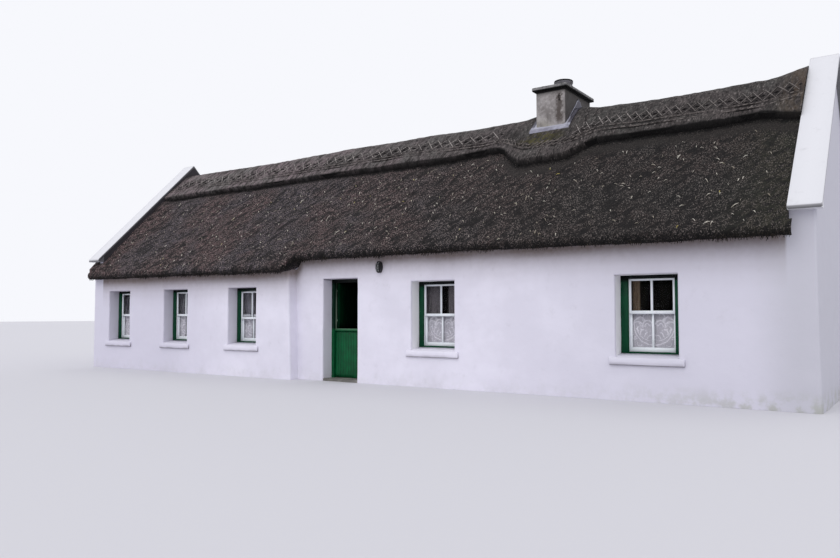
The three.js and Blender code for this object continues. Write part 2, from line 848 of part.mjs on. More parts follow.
WINDOWS.forEach((w, i) => {
  const name = `window_${i + 1}`;
  place(`${name}_joinery`, windowJoinery(w, -1), WHITE);
  place(`${name}_glass`, windowGlass(w, -1), GLASS);
  place(`${name}_curtain`, windowCurtain(w), LACE);
});
BACK_WINDOWS.forEach((w, i) => {
  const name = `back_window_${i + 1}`;
  place(`${name}_joinery`, windowJoinery(w, 1), WHITE);
  place(`${name}_glass`, windowGlass(w, 1), GLASS);
});

export default cottage;
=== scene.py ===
"""Looks of a thatched cottage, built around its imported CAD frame.

All sizes are metres. The front faces -Y, +X runs along the front to the viewer's
right, and the origin lies on the ground under the middle of the ridge.
"""

import logging
import math
from dataclasses import dataclass, field
from enum import Enum
from typing import Callable, Sequence

import bmesh
import bpy
import numpy as np
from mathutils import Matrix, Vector


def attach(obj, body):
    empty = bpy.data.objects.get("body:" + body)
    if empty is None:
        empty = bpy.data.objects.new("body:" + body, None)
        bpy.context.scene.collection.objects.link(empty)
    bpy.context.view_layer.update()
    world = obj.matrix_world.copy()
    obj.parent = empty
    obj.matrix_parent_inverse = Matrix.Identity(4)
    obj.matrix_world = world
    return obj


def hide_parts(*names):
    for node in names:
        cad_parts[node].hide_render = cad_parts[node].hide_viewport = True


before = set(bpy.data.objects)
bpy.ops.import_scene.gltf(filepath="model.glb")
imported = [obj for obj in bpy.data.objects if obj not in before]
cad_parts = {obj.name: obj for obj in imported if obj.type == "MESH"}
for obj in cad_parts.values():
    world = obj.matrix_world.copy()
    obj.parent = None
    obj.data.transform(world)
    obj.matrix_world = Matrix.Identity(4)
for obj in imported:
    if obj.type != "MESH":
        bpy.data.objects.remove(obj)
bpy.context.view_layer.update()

log = logging.getLogger("cottage")
Array = np.ndarray
Faces = tuple[Array, Array]
Material, Mesh, Object = bpy.types.Material, bpy.types.Mesh, bpy.types.Object
Socket = bpy.types.NodeSocket
Look = tuple[object, object, object]
"""What a finish is made of: its colour, roughness and height."""
HOUSE = "house"
LOWER_DOOR = "lower_door"

# Numbers shared with the CAD
FACE_LEFT = 2.734
FACE_RIGHT = 2.5
LEFT_END = -8.2
RIGHT_END = 8.17
STEP_X = -1.38
STEP_RUN = 0.24
CREST = 5.28
PITCH = 1.03
UNDER_APEX = 4.88
SEAT_WIDTH = 0.156
EAVE_CORNER = -8.165
UPSTAND = 7.85
COPING_APEX = 5.54
COPING_EDGE = 8.27
COPING_DEPTH = 0.065
COPING_LEFT = (2.88, 2.71)
COPING_RIGHT = (2.67, 2.79)
"""Reach of each coping from the ridge line and the height of its top there."""
CHIMNEY_X = 3.465
GAP = 0.0003
REVEAL = 0.25
CREST_LINE = np.array([
    [-7.9, 5.232], [-6.3, 5.228], [-4.6, 5.221], [-3.0, 5.238], [-1.9, 5.266],
    [-0.9, 5.257], [0.2, 5.264], [1.55, 5.241], [2.5, 5.255], [3.1, 5.32],
    [3.9, 5.335], [4.3, 5.282], [5.5, 5.257], [7.15, 5.279], [7.9, 5.404],
])
"""Height of the crest at each x."""
APRON_LINE = np.array([
    [-7.9, 0.97], [-5.76, 0.945], [-4.0, 0.95], [-1.945, 0.96], [-0.12, 0.98],
    [0.925, 0.98], [2.45, 0.915], [3.2, 1.35], [3.9, 1.345], [4.56, 1.035],
    [5.5, 1.015], [6.53, 1.025], [7.2, 0.985], [7.85, 1.19],
])
"""Distance of the ridge's cut edge from the ridge line at each x."""
LEAD_APEX = 5.54
LEAD_FALL = 0.985
"""Height of the lead's top edge at the ridge line, and its fall for each metre out from there."""
CUT_SHADE = np.array([[-7.0, 0.4], [-3.0, 0.66], [2.4, 0.74], [2.8, 0.34], [4.2, 0.34], [4.8, 0.88]])
"""How black the ridge's cut edge is at each x."""


# Curves and surfaces of the house
def ease(t: Array | float) -> Array:
    """Returns the smooth step of t, flat at 0 and at 1."""
    t = np.clip(t, 0.0, 1.0)
    return t * t * (3.0 - 2.0 * t)


def unit(ways: Array) -> Array:
    """Returns vectors scaled to a length of 1."""
    return ways / np.maximum(np.linalg.norm(ways, axis=-1, keepdims=True), 1e-9)


def circle(count: int) -> Array:
    """Returns evenly spaced angles once round."""
    return np.linspace(0, 2 * np.pi, count, endpoint=False)


def oval(x: float, z: float, half_x: float, half_z: float, y: float, count: int = 36) -> Array:
    """Returns points round an oval that faces the front."""
    angle = circle(count)
    return np.stack([x + half_x * np.cos(angle), np.full(count, y), z + half_z * np.sin(angle)], 1)


def along(line: Array, x: Array | float) -> Array:
    """Reads a line of (x, value) points, eased between neighbours.

    Args:
        line: The points, sorted by x.
        x: Where to read it.

    Returns:
        The value at each x.
    """
    x = np.asarray(x, float)
    i = np.clip(np.searchsorted(line[:, 0], x) - 1, 0, len(line) - 2)
    t = (x - line[i, 0]) / (line[i + 1, 0] - line[i, 0])
    return line[i, 1] + ease(t) * (line[i + 1, 1] - line[i, 1])


class Roof:
    """Heights of the roof's surfaces over a point x along the ridge and d out from it."""

    @staticmethod
    def lift(x: Array, d: Array) -> Array:
        """Returns how far the uneven crest lifts the roof, fading down the slope."""
        return (along(CREST_LINE, x) - CREST) * (1.0 - ease(d / 2.4))

    @staticmethod
    def thatch_top(x: Array, d: Array) -> Array:
        """Returns the height of the thatch."""
        fall = np.hypot(PITCH * d, 0.2) - 0.2
        return CREST + Roof.lift(x, d) - 0.1 - fall

    @staticmethod
    def ridge_top(x: Array, d: Array) -> Array:
        """Returns the height of the ridge block."""
        return CREST + Roof.lift(x, d) - (np.hypot(d, 0.25) - 0.25)

    @staticmethod
    def step_share(x: Array) -> Array:
        """Returns 0 over the thicker left part and 1 over the right part."""
        return ease((x - STEP_X) / STEP_RUN)

    @staticmethod
    def eave_reach(x: Array) -> Array:
        """Returns how far out the eaves reach."""
        left = 2.945 + ease((x - LEFT_END) / 6.82) * 0.045
        right = 2.755 + ease((x - 1.5) / (UPSTAND - 1.5)) * 0.033
        return left + (right - left) * Roof.step_share(x)

    @staticmethod
    def wall_face(x: Array) -> Array:
        """Returns how far out the wall's face stands."""
        return FACE_LEFT + (FACE_RIGHT - FACE_LEFT) * Roof.step_share(x)


@dataclass(frozen=True)
class SmoothNoise:
    """Seeded lumps: random values on a lattice with eased values between them.

    Attributes:
        seed: Picks the lattice's values.
        size: Distance between lattice points, the same or one along each axis.
    """

    seed: int
    size: float | tuple[float, float, float] = 1.0

    def at(self, points: Array) -> Array:
        """Evens the lattice's values out between its points.

        Args:
            points: The (n, 3) points.

        Returns:
            A value from -1 to 1 for each.
        """
        grid = points / np.array(self.size) + 1000.0
        cell = np.floor(grid).astype(np.int64)
        t = ease(grid - cell)
        total = np.zeros(len(points))
        for corner in range(8):
            step = np.array([corner & 1, corner >> 1 & 1, corner >> 2 & 1])
            weight = np.prod(np.where(step, t, 1.0 - t), axis=1)
            total += weight * self._value(cell + step)
        return total

    def _value(self, cell: Array) -> Array:
        """Returns the lattice's own value, from -1 to 1, at each whole-numbered point."""
        mixed = cell @ np.array([73856093, 19349663, 83492791]) + self.seed * 2654435
        mixed = (mixed ^ (mixed >> 13)) * 1274126177 & 0x7FFFFFFF
        mixed = (mixed ^ (mixed >> 15)) * 40503 & 0x7FFFFFFF
        return mixed / 0x3FFFFFFF - 1.0


# Meshes
def lumps(points: Array, base: float, *waves: tuple) -> Array:
    """Returns a base height with seeded noises added, each given by its height, seed and size."""
    total = np.full(len(points), base)
    for height, seed, size in waves:
        total += height * SmoothNoise(seed, size).at(points)
    return total


def grid_faces(rows: int, cols: int, wrap: bool = False) -> Array:
    """Lists the quads of a grid of vertices numbered row by row.

    Args:
        rows: Vertices down.
        cols: Vertices across.
        wrap: True where the last column joins the first.

    Returns:
        Four vertex numbers a quad.
    """
    across = cols if wrap else cols - 1
    r, c = np.meshgrid(np.arange(rows - 1), np.arange(across), indexing="ij")
    r, c = r.ravel(), c.ravel()
    n = (c + 1) % cols
    return np.stack([r * cols + c, r * cols + n, (r + 1) * cols + n, (r + 1) * cols + c], 1)


@dataclass
class Skin:
    """Vertices and quads gathered for one piece."""

    points: list[Array] = field(default_factory=list)
    quads: list[Array] = field(default_factory=list)
    count: int = 0

    def add(self, points: Array, quads: Array) -> "Skin":
        """Adds vertices and the quads between them.

        Args:
            points: The vertices.
            quads: Four vertex numbers a quad, from 0.

        Returns:
            The skin itself.
        """
        self.points.append(np.asarray(points, float).reshape(-1, 3))
        self.quads.append(np.asarray(quads, int).reshape(-1, 4) + self.count)
        self.count += len(self.points[-1])
        return self

    def add_grid(self, grid: Array, wrap: bool = False, flip: bool = False) -> "Skin":
        """Adds a (rows, cols, 3) grid of points.

        Args:
            grid: The points.
            wrap: True where the last column joins the first.
            flip: True turns the faces round.

        Returns:
            The skin itself.
        """
        quads = grid_faces(*grid.shape[:2], wrap)
        return self.add(grid, quads[:, ::-1] if flip else quads)

    def mesh(self, name: str) -> Mesh:
        """Returns the gathered vertices and quads as a mesh."""
        points = np.concatenate(self.points)
        quads = np.concatenate(self.quads)
        mesh = bpy.data.meshes.new(name)
        mesh.vertices.add(len(points))
        mesh.vertices.foreach_set("co", points.astype(np.float32).ravel())
        mesh.loops.add(quads.size)
        mesh.loops.foreach_set("vertex_index", quads.ravel())
        mesh.polygons.add(len(quads))
        mesh.polygons.foreach_set("loop_start", np.arange(len(quads)) * 4)
        mesh.update(calc_edges=True)
        mesh.validate()
        return mesh


@dataclass(frozen=True)
class Piece:
    """How a finished mesh joins the scene.

    Attributes:
        name: Name of the piece.
        finish: Its material.
        slot: The record's material slot; not used.
        body: CAD body that it moves with.
        smooth: True shades it smooth.
        stands_for: CAD nodes that it takes the place of.
    """

    name: str
    finish: Material
    slot: str
    body: str = HOUSE
    smooth: bool = True
    stands_for: tuple[str, ...] = ()

    def build(self, skin: Skin, merge: float = 0.0) -> Object:
        """Makes the object, lets it ride on its body and reports it.

        Args:
            skin: Its vertices and quads.
            merge: Distance under which vertices are joined, or 0.

        Returns:
            The object.
        """
        mesh = skin.mesh(self.name)
        if merge:
            weld(mesh, merge)
        if self.smooth:
            mesh.polygons.foreach_set("use_smooth", np.ones(len(mesh.polygons), bool))
        mesh.materials.append(self.finish)
        obj = bpy.data.objects.new(self.name, mesh)
        show(obj)
        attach(obj, self.body)
        if self.stands_for:
            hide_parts(*self.stands_for)
        log.info("%s: %d faces", self.name, len(mesh.polygons))
        return obj


def show(obj: Object) -> None:
    """Links an object to the scene."""
    bpy.context.scene.collection.objects.link(obj)


def weld(mesh: Mesh, distance: float) -> None:
    """Joins the vertices of a mesh that lie within a distance of each other."""
    work = bmesh.new()
    work.from_mesh(mesh)
    bmesh.ops.remove_doubles(work, verts=work.verts, dist=distance)
    work.to_mesh(mesh)
    work.free()


def points_of(mesh: Mesh) -> Array:
    """Returns the (n, 3) places of a mesh's vertices."""
    found = np.zeros(len(mesh.vertices) * 3, np.float32)
    mesh.vertices.foreach_get("co", found)
    return found.reshape(-1, 3).astype(float)


def store(mesh: Mesh, name: str, values: Array) -> None:
    """Stores a number at each vertex of a mesh, for its material to read."""
    layer = mesh.attributes.new(name, "FLOAT", "POINT")
    layer.data.foreach_set("value", np.clip(values, 0.0, 1.0).astype(np.float32))


def normals_of(grid: Array) -> Array:
    """Returns the unit normals of a (rows, cols, 3) grid, along d/dcol x d/drow."""
    return unit(np.cross(np.gradient(grid, axis=1), np.gradient(grid, axis=0)))


# Materials
class Tree:
    """Short hand for wiring a node tree."""

    def __init__(self, tree: bpy.types.NodeTree) -> None:
        """Wraps a node tree."""
        self.tree = tree

    def node(self, kind: str, **settings: object) -> bpy.types.Node:
        """Adds a node.

        Args:
            kind: Its Blender type without the ShaderNode in front.
            **settings: Properties by name, and inputs by name or number with in_ before them.

        Returns:
            The node.
        """
        made = self.tree.nodes.new("ShaderNode" + kind)
        for key, value in settings.items():
            if not key.startswith("in_"):
                setattr(made, key, value)
                continue
            spot = key[3:].replace("_", " ")
            self.feed(value, made.inputs[int(spot)] if spot.isdigit() else made.inputs[spot])
        return made

    def feed(self, value: object, target: Socket) -> None:
        """Gives an input a plain value, or links it where the value is a socket."""
        if isinstance(value, Socket):
            self.tree.links.new(value, target)
        else:
            target.default_value = value

    def math(self, work: str, a: object, b: object = 0.5, clamp: bool = False) -> Socket:
        """Returns the outcome of a sum on two numbers or sockets."""
        made = self.node("Math", operation=work, use_clamp=clamp, in_0=a, in_1=b)
        return made.outputs[0]

    def noise(self, place: object, scale: float, detail: float = 3.0, rough: float = 0.5) -> Socket:
        """Returns a noise's value at a place."""
        made = self.node("TexNoise", in_Vector=place, in_Scale=scale, in_Detail=detail, in_Roughness=rough)
        return made.outputs["Fac"]

    def band(self, value: object, low: object, high: object, a: float = 0.0, b: float = 1.0) -> Socket:
        """Returns value carried smoothly from low..high to a..b."""
        ends = {"in_1": low, "in_2": high, "in_3": a, "in_4": b}
        return self.node("MapRange", interpolation_type="SMOOTHSTEP", in_0=value, **ends).outputs[0]

    def mix(self, share: object, a: object, b: object) -> Socket:
        """Returns colour a with a share of colour b laid over it."""
        made = self.node("Mix", data_type="RGBA", clamp_factor=True, in_0=share, in_6=a, in_7=b)
        return made.outputs[2]

    def tones(self, value: object, low: float, high: float, a: Sequence[int], b: Sequence[int]) -> Socket:
        """Returns display colour a where value is low, carried smoothly to b where it is high."""
        return self.mix(self.band(value, low, high), rgb(*a), rgb(*b))

    def mark(self, name: str) -> Socket:
        """Returns a number stored on the mesh's points."""
        return self.node("Attribute", attribute_name=name).outputs["Fac"]

    def axis(self, name: str) -> Socket:
        """Returns one of the object's own coordinates, X, Y or Z."""
        return self.node("SeparateXYZ", in_0=self.place()).outputs[name]

    def times(self, *shares: object) -> Socket:
        """Returns the product of numbers or sockets."""
        total = shares[0]
        for share in shares[1:]:
            total = self.math("MULTIPLY", total, share)
        return total

    def place(self, stretch: Sequence[float] = (1, 1, 1)) -> Socket:
        """Returns the object's own coordinates, stretched."""
        found = self.node("TexCoord").outputs["Object"]
        return self.node("Mapping", in_Vector=found, in_Scale=stretch).outputs[0]


def rgb(red: float, green: float, blue: float) -> tuple[float, float, float, float]:
    """Returns a display colour, 0 to 255 a channel, as a linear one."""
    shares = [channel / 255.0 for channel in (red, green, blue)]
    linear = [s / 12.92 if s <= 0.04045 else ((s + 0.055) / 1.055) ** 2.4 for s in shares]
    return (*linear, 1.0)


def blank(name: str) -> tuple[Material, Tree, bpy.types.Node]:
    """Returns a new material, its tree and its Principled shader."""
    material = bpy.data.materials.new(name)
    material.use_nodes = True
    return material, Tree(material.node_tree), material.node_tree.nodes["Principled BSDF"]


@dataclass(frozen=True)
class Finish:
    """A procedural material: one Principled shader fed by colour, roughness and bump.

    Attributes:
        name: Name of the material.
        paint: Wires the nodes; it gets the tree and returns colour, roughness and height.
        bump: Strength of the bump.
        depth: Height of the bump in metres.
        metallic: Share of metal.
        specular: Strength of the surface reflection.
    """

    name: str
    paint: Callable[[Tree], Look]
    bump: float = 0.6
    depth: float = 0.004
    metallic: float = 0.0
    specular: float = 0.3

    def build(self) -> Material:
        """Returns the material."""
        material, tree, shader = blank(self.name)
        colour, roughness, height = self.paint(tree)
        values = {"Metallic": self.metallic, "Specular IOR Level": self.specular}
        values |= {"Base Color": colour, "Roughness": roughness}
        if height is not None:
            bump = tree.node("Bump", in_Strength=self.bump, in_Distance=self.depth, in_Height=height)
            values["Normal"] = bump.outputs[0]
        for name, value in values.items():
            tree.feed(value, shader.inputs[name])
        return material


WALL_LIGHT = rgb(231, 228, 240)
WALL_SHADE = rgb(222, 219, 231)


def paint_limewash(tree: Tree) -> Look:
    """Wires limewash: broad clouds, staining and drips under the eaves deepened with painted shade, painted
    shade towards the right end, under the sills and on the left upstand's inner face, painted light in the
    reveals, and a faintly green foot.
    """
    place = tree.place()
    across, height = tree.axis("X"), tree.axis("Z")
    cloud = tree.noise(place, 0.9, 4.0, 0.6)
    blotch = tree.noise(place, 5.0, 5.0, 0.62)
    colour = tree.mix(tree.band(cloud, 0.38, 0.64), WALL_SHADE, WALL_LIGHT)
    # Painted shade: darker over the right part of the house, and more at its right end under the coping.
    colour = tree.mix(tree.band(across, 2.6, 6.6, 0.0, 0.75), colour, rgb(206, 204, 216))
    colour = tree.mix(tree.band(across, 7.2, 8.0, 0.0, 0.6), colour, rgb(184, 184, 191))
    colour = tree.mix(tree.band(across, -2.6, -5.5, 0.0, 0.8), colour, rgb(208, 205, 219))
    colour = tree.mix(tree.band(blotch, 0.56, 0.8, 0.0, 0.3), colour, rgb(196, 193, 203))
    # Painted light: the reveals right of the doorway are lightened, those further left only a little.
    inside = tree.times(tree.mark("inside"), tree.band(across, 0.5, 1.2, 0.1, 1.0))
    colour = tree.mix(inside, colour, rgb(250, 249, 252))
    # Painted shadow: a dark line under the sills' lower edges.
    colour = tree.mix(tree.times(tree.mark("under"), 0.8), colour, rgb(78, 72, 70))
    fine = tree.noise(place, 14.0, 4.0, 0.6)
    # Staining under the eaves, deepened with painted shade close under them.
    broken = tree.times(tree.mark("stain"), tree.band(fine, 0.25, 0.7, 0.88, 1.0))
    colour = tree.mix(broken, colour, rgb(120, 104, 95))
    foot = tree.times(tree.band(height, 0.0, 0.34, 1.0, 0.0), tree.band(across, 4.5, 8.0, 0.15, 0.8))
    splash = tree.times(foot, tree.band(blotch, 0.4, 0.62), 0.6)
    colour = tree.mix(splash, colour, rgb(150, 154, 128))
    # Painted shade on the left upstand's inner face above the thatch.
    inner_face = tree.times(tree.band(across, -7.87, -7.856), tree.band(across, -6.0, -6.5))
    upstand = tree.times(inner_face, tree.band(height, 2.5, 2.56))
    colour = tree.mix(upstand, colour, rgb(54, 51, 55))
    return colour, 0.85, tree.noise(place, 9.0, 6.0, 0.6)


def paint_masonry(tree: Tree) -> Look:
    """Wires the walls under their coat: limewashed outside, painted dark brown inside the rooms as painted
    shade.
    """
    colour, roughness, height = paint_limewash(tree)
    deep = tree.band(tree.math("ABSOLUTE", tree.axis("Y")), 2.195, 2.185)
    held = tree.band(tree.math("ABSOLUTE", tree.axis("X")), 7.72, 7.715)
    # Painted shade: the rooms' inner faces are dark brown.
    room_shade = tree.tones(height, 0.3, 0.7, (30, 27, 24), (44, 39, 34))
    return tree.mix(tree.times(deep, held), colour, room_shade), roughness, height


def paint_thatch(tree: Tree) -> Look:
    """Wires weathered thatch: sharp straw speckle over tufts and broad patches."""
    place = tree.place()
    combed = tree.place((1.0, 0.6, 0.6))
    slant = {"in_Rotation": (0.0, 0.0, 0.6), "in_Scale": (3.0, 1.0, 6.0)}
    slanted = tree.node("Mapping", vector_type="TEXTURE", in_Vector=place, **slant).outputs[0]
    across = tree.axis("X")
    speck = tree.noise(combed, 62.0, 2.0, 0.8)
    tuft = tree.noise(slanted, 30.0, 3.0, 0.7)
    patch = tree.noise(place, 0.7, 4.0, 0.6)
    warm = tree.tones(across, -5.0, 5.0, (98, 75, 76), (53, 43, 41))
    cool = tree.tones(across, -5.0, 5.0, (79, 72, 81), (43, 41, 40))
    colour = tree.mix(tree.band(patch, 0.42, 0.6), warm, cool)
    gouge = tree.noise(slanted, 11.0, 3.0, 0.65)
    colour = tree.mix(tree.band(tuft, 0.42, 0.6), rgb(18, 15, 15), colour)
    colour = tree.mix(tree.band(speck, 0.43, 0.5), rgb(3, 2, 2), colour)
    pale = tree.tones(across, 0.0, 6.0, (152, 138, 135), (118, 110, 106))
    colour = tree.mix(tree.band(speck, 0.56, 0.64, 0.0, 0.9), colour, pale)
    # Painted shade in the slanted gouges.
    colour = tree.mix(tree.band(gouge, 0.4, 0.5, 0.85, 0.0), colour, rgb(12, 9, 10))
    mossy = tree.times(tree.band(across, 6.6, 7.8), tree.band(tuft, 0.35, 0.6, 0.0, 0.4))
    colour = tree.mix(mossy, colour, rgb(46, 50, 36))
    smooth = tree.tones(across, -4.0, 6.0, (78, 72, 71), (46, 42, 40))
    smooth = tree.mix(tree.band(speck, 0.3, 0.7), rgb(26, 23, 22), smooth)
    colour = tree.mix(tree.mark("strip"), colour, smooth)
    # Painted shade on the eave's cut face and under the ridge's cut edge, broken by the speckle.
    ends = tree.times(tree.mark("shade"), tree.band(speck, 0.53, 0.64, 1.0, 0.62))
    colour = tree.mix(ends, colour, rgb(5, 4, 4))
    return colour, 0.95, tree.math("ADD", tree.math("MULTIPLY", speck, 0.5), tuft)


def paint_ridge(tree: Tree) -> Look:
    """Wires the greyer combed ridge, darker to the right and mossy under the chimney."""
    place = tree.place()
    combed = tree.place((1.0, 0.3, 0.3))
    across = tree.axis("X")
    speck = tree.noise(combed, 34.0, 3.0, 0.78)
    tuft = tree.noise(combed, 8.0, 4.0, 0.6)
    patch = tree.noise(place, 1.1, 4.0, 0.6)
    warm = tree.tones(across, -5.0, 5.0, (118, 105, 108), (70, 64, 63))
    cool = tree.tones(across, -5.0, 5.0, (108, 103, 102), (63, 61, 59))
    colour = tree.mix(tree.band(patch, 0.4, 0.62), warm, cool)
    colour = tree.mix(tree.band(tuft, 0.33, 0.6), rgb(48, 43, 42), colour)
    colour = tree.mix(tree.band(speck, 0.36, 0.5), rgb(12, 10, 10), colour)
    colour = tree.mix(tree.band(speck, 0.56, 0.68, 0.0, 0.6), colour, rgb(140, 132, 129))
    moss = tree.times(tree.mark("moss"), tree.band(tree.noise(place, 12.0, 4.0, 0.6), 0.4, 0.6))
    colour = tree.mix(moss, colour, rgb(78, 74, 38))
    # Painted shade in the band of crossed spars, broken by the tufts.
    hollows = tree.times(tree.mark("spar_shade"), tree.band(tuft, 0.3, 0.62, 0.8, 0.25))
    colour = tree.mix(hollows, colour, rgb(26, 22, 22))
    brown = tree.times(tree.band(across, 7.3, 7.8), tree.band(tuft, 0.36, 0.6, 0.0, 0.55))
    colour = tree.mix(brown, colour, rgb(78, 64, 50))
    colour = tree.mix(tree.mark("shade"), colour, rgb(4, 3, 3))
    return colour, 0.95, tree.math("ADD", tree.math("MULTIPLY", speck, 0.5), tuft)


@dataclass(frozen=True)
class Speckle:
    """Paint of two tones picked by a noise, with a third one over part of it.

    Attributes:
        noise: Scale, detail and roughness of the noise.
        tones: Where on the noise the first tone ends and the second begins, and both tones.
        over: What the third tone goes by, the noise or an axis, the tone and its band.
        rough: Roughness of the surface.
        raised: True lets the noise raise the surface.
    """

    noise: tuple[float, float, float]
    tones: tuple
    over: tuple = ()
    rough: float = 0.95
    raised: bool = True

    def __call__(self, tree: Tree) -> Look:
        """Wires the paint.

        Args:
            tree: The tree to wire it in.

        Returns:
            Colour, roughness and height.
        """
        grain = tree.noise(tree.place(), *self.noise)
        colour = tree.tones(grain, *self.tones)
        if self.over:
            where, tone, *span = self.over
            by = grain if where == "noise" else tree.axis(where)
            colour = tree.mix(tree.band(by, *span), colour, rgb(*tone))
        return colour, self.rough, grain if self.raised else None


BLEACHED_RODS = Speckle(
    (24.0, 4.0, 0.6), (0.38, 0.62, (96, 90, 88), (184, 176, 172)),
    ("X", (90, 83, 80), 4.0, 6.2, 0.1, 0.7), 0.85,
)
LONG_RODS = Speckle((18.0, 4.0, 0.6), (0.38, 0.62, (52, 47, 46), (126, 118, 114)), rough=0.85)
# Near black for painted shadows: round the ridge's spars, under its long rods, the reeds and the block under
# its cut edge.
PAINTED_SHADOW_BLACK = Speckle((24.0, 4.0, 0.6), (0.38, 0.62, (6, 5, 5), (16, 13, 13)), raised=False)
PALE_STRAW = Speckle(
    (2.3, 3.0, 0.6), (0.42, 0.56, (158, 149, 134), (224, 219, 206)),
    ("noise", (186, 174, 92), 0.6, 0.66), 0.8, False,
)
REED_ENDS = Speckle(
    (30.0, 3.0, 0.6), (0.42, 0.6, (12, 10, 9), (44, 38, 32)),
    ("noise", (110, 102, 90), 0.64, 0.7), raised=False,
)
# Frosted glass, its right part near black as painted shade.
FROSTED_GLASS = Speckle(
    (26.0, 3.0, 0.6), (0.4, 0.65, (196, 198, 198), (110, 112, 114)), ("X", (18, 18, 20), 0.812, 0.832), 0.5
)
# Cap cement, its lower edge near black as painted shade.
CAP_SHADED_BELOW = Speckle(
    (14.0, 5.0, 0.7), (0.38, 0.62, (66, 66, 66), (136, 134, 134)), ("Z", (14, 13, 13), 5.655, 5.64), 0.92
)
SOOTY_POT = Speckle(
    (16.0, 5.0, 0.65), (0.35, 0.65, (92, 90, 93), (124, 122, 127)), ("Z", (16, 15, 16), 5.905, 5.925), 0.9
)


def paint_dark_metal(tree: Tree) -> Look:
    """Wires a dark painted casting with pale streaks on the lamp's left side."""
    worn = tree.noise(tree.place(), 40.0, 3.0, 0.6)
    colour = tree.tones(worn, 0.4, 0.65, (10, 10, 11), (30, 30, 32))
    side = tree.times(tree.band(tree.axis("X"), 0.7, 0.72), tree.band(tree.axis("X"), 0.815, 0.79))
    streak = tree.times(side, tree.band(tree.noise(tree.place((2.0, 1.0, 0.5)), 30.0, 2.0), 0.4, 0.58))
    return tree.mix(streak, colour, rgb(150, 150, 152)), 0.5, worn


def paint_coping(tree: Tree) -> Look:
    """Wires painted copings: near white with faint worn patches, painted shade on the lower edges and ends
    and on the left coping's inner side.
    """
    place = tree.place()
    worn = tree.noise(place, 7.0, 6.0, 0.65)
    colour = tree.mix(tree.band(worn, 0.56, 0.8, 0.0, 0.4), rgb(217, 217, 221), rgb(182, 181, 185))
    # Painted shade on the lower edges and the ends.
    colour = tree.mix(tree.mark("edge"), colour, rgb(112, 112, 114))
    # Painted shade on the left coping's inner side.
    inner = tree.times(tree.band(tree.axis("X"), -7.856, -7.85), tree.band(tree.axis("X"), 0.0, -1.0))
    colour = tree.mix(tree.times(inner, 0.9), colour, rgb(66, 64, 69))
    return colour, 0.7, tree.noise(place, 22.0, 4.0, 0.6)


def paint_cement(tree: Tree) -> Look:
    """Wires weathered cement render with streaks, a sooty run and algae, painted shade on the stack's right
    face and a painted shadow at its top under the cap.
    """
    place = tree.place((1.0, 1.0, 0.2))
    across, out, height = tree.axis("X"), tree.axis("Y"), tree.axis("Z")
    streak = tree.noise(place, 9.0, 4.0, 0.6)
    patch = tree.noise(tree.place(), 3.4, 5.0, 0.62)
    fine = tree.noise(tree.place(), 18.0, 4.0, 0.6)
    colour = tree.tones(patch, 0.36, 0.66, (124, 119, 117), (168, 163, 162))
    colour = tree.mix(tree.band(fine, 0.5, 0.7, 0.0, 0.4), colour, rgb(188, 183, 180))
    # Painted shade on the stack's right face.
    right = tree.band(across, 3.757, 3.765)
    colour = tree.mix(tree.times(right, 0.9), colour, rgb(66, 63, 62))
    streaks = tree.times(tree.band(streak, 0.54, 0.68), tree.band(right, 0.0, 1.0, 0.3, 0.8))
    colour = tree.mix(streaks, colour, rgb(62, 58, 56))
    bent = tree.math("ADD", across, tree.band(fine, 0.3, 0.7, -0.03, 0.03))
    off = tree.math("ABSOLUTE", tree.math("SUBTRACT", bent, 3.645))
    run = tree.times(tree.band(off, 0.085, 0.03), tree.band(height, 5.6, 5.5), tree.band(height, 4.9, 5.05))
    colour = tree.mix(tree.times(run, tree.band(out, -0.55, -0.6), 0.85), colour, rgb(74, 66, 62))
    core = tree.times(tree.band(off, 0.03, 0.012), tree.band(height, 5.36, 5.4), tree.band(height, 5.54, 5.5))
    colour = tree.mix(tree.times(core, tree.band(out, -0.55, -0.6)), colour, rgb(14, 12, 12))
    soot = tree.times(tree.band(height, 5.5, 5.6), tree.band(patch, 0.3, 0.7, 0.45, 1.0))
    colour = tree.mix(soot, colour, rgb(70, 66, 63))
    # Painted shadow near black at the stack's top under the cap.
    colour = tree.mix(tree.band(height, 5.572, 5.598), colour, rgb(12, 11, 11))
    damp = tree.times(tree.band(height, 5.15, 4.85), tree.band(across, 3.6, 3.3))
    algae = tree.times(damp, tree.band(patch, 0.4, 0.66, 0.2, 0.7))
    colour = tree.mix(algae, colour, rgb(128, 126, 98))
    return colour, 0.9, tree.noise(tree.place(), 26.0, 5.0, 0.65)


def paint_lead(tree: Tree) -> Look:
    """Wires lead: purplish grey with pale bloom, darker tones as painted shade on its sides and back, and a
    bright folded lip over a crease darkened with painted shade.
    """
    place = tree.place()
    bloom = tree.noise(place, 8.0, 5.0, 0.6)
    # Painted shade: the lead's sides and back take darker tones than its front.
    front = tree.band(tree.axis("Y"), -0.64, -0.6, 1.0, 0.0)
    dark = tree.mix(front, rgb(76, 74, 84), rgb(134, 133, 146))
    pale = tree.mix(front, rgb(104, 102, 112), rgb(176, 176, 190))
    colour = tree.mix(tree.band(bloom, 0.4, 0.68), dark, pale)
    # Painted shade in the crease round the upstand's foot.
    colour = tree.mix(tree.mark("groove_and_shadow"), colour, rgb(38, 36, 42))
    lip = tree.times(tree.mark("lip"), tree.band(tree.axis("Z"), 5.48, 5.515, 1.0, 0.15))
    colour = tree.mix(lip, colour, rgb(172, 172, 184))
    return colour, tree.band(bloom, 0.3, 0.7, 0.45, 0.7), bloom


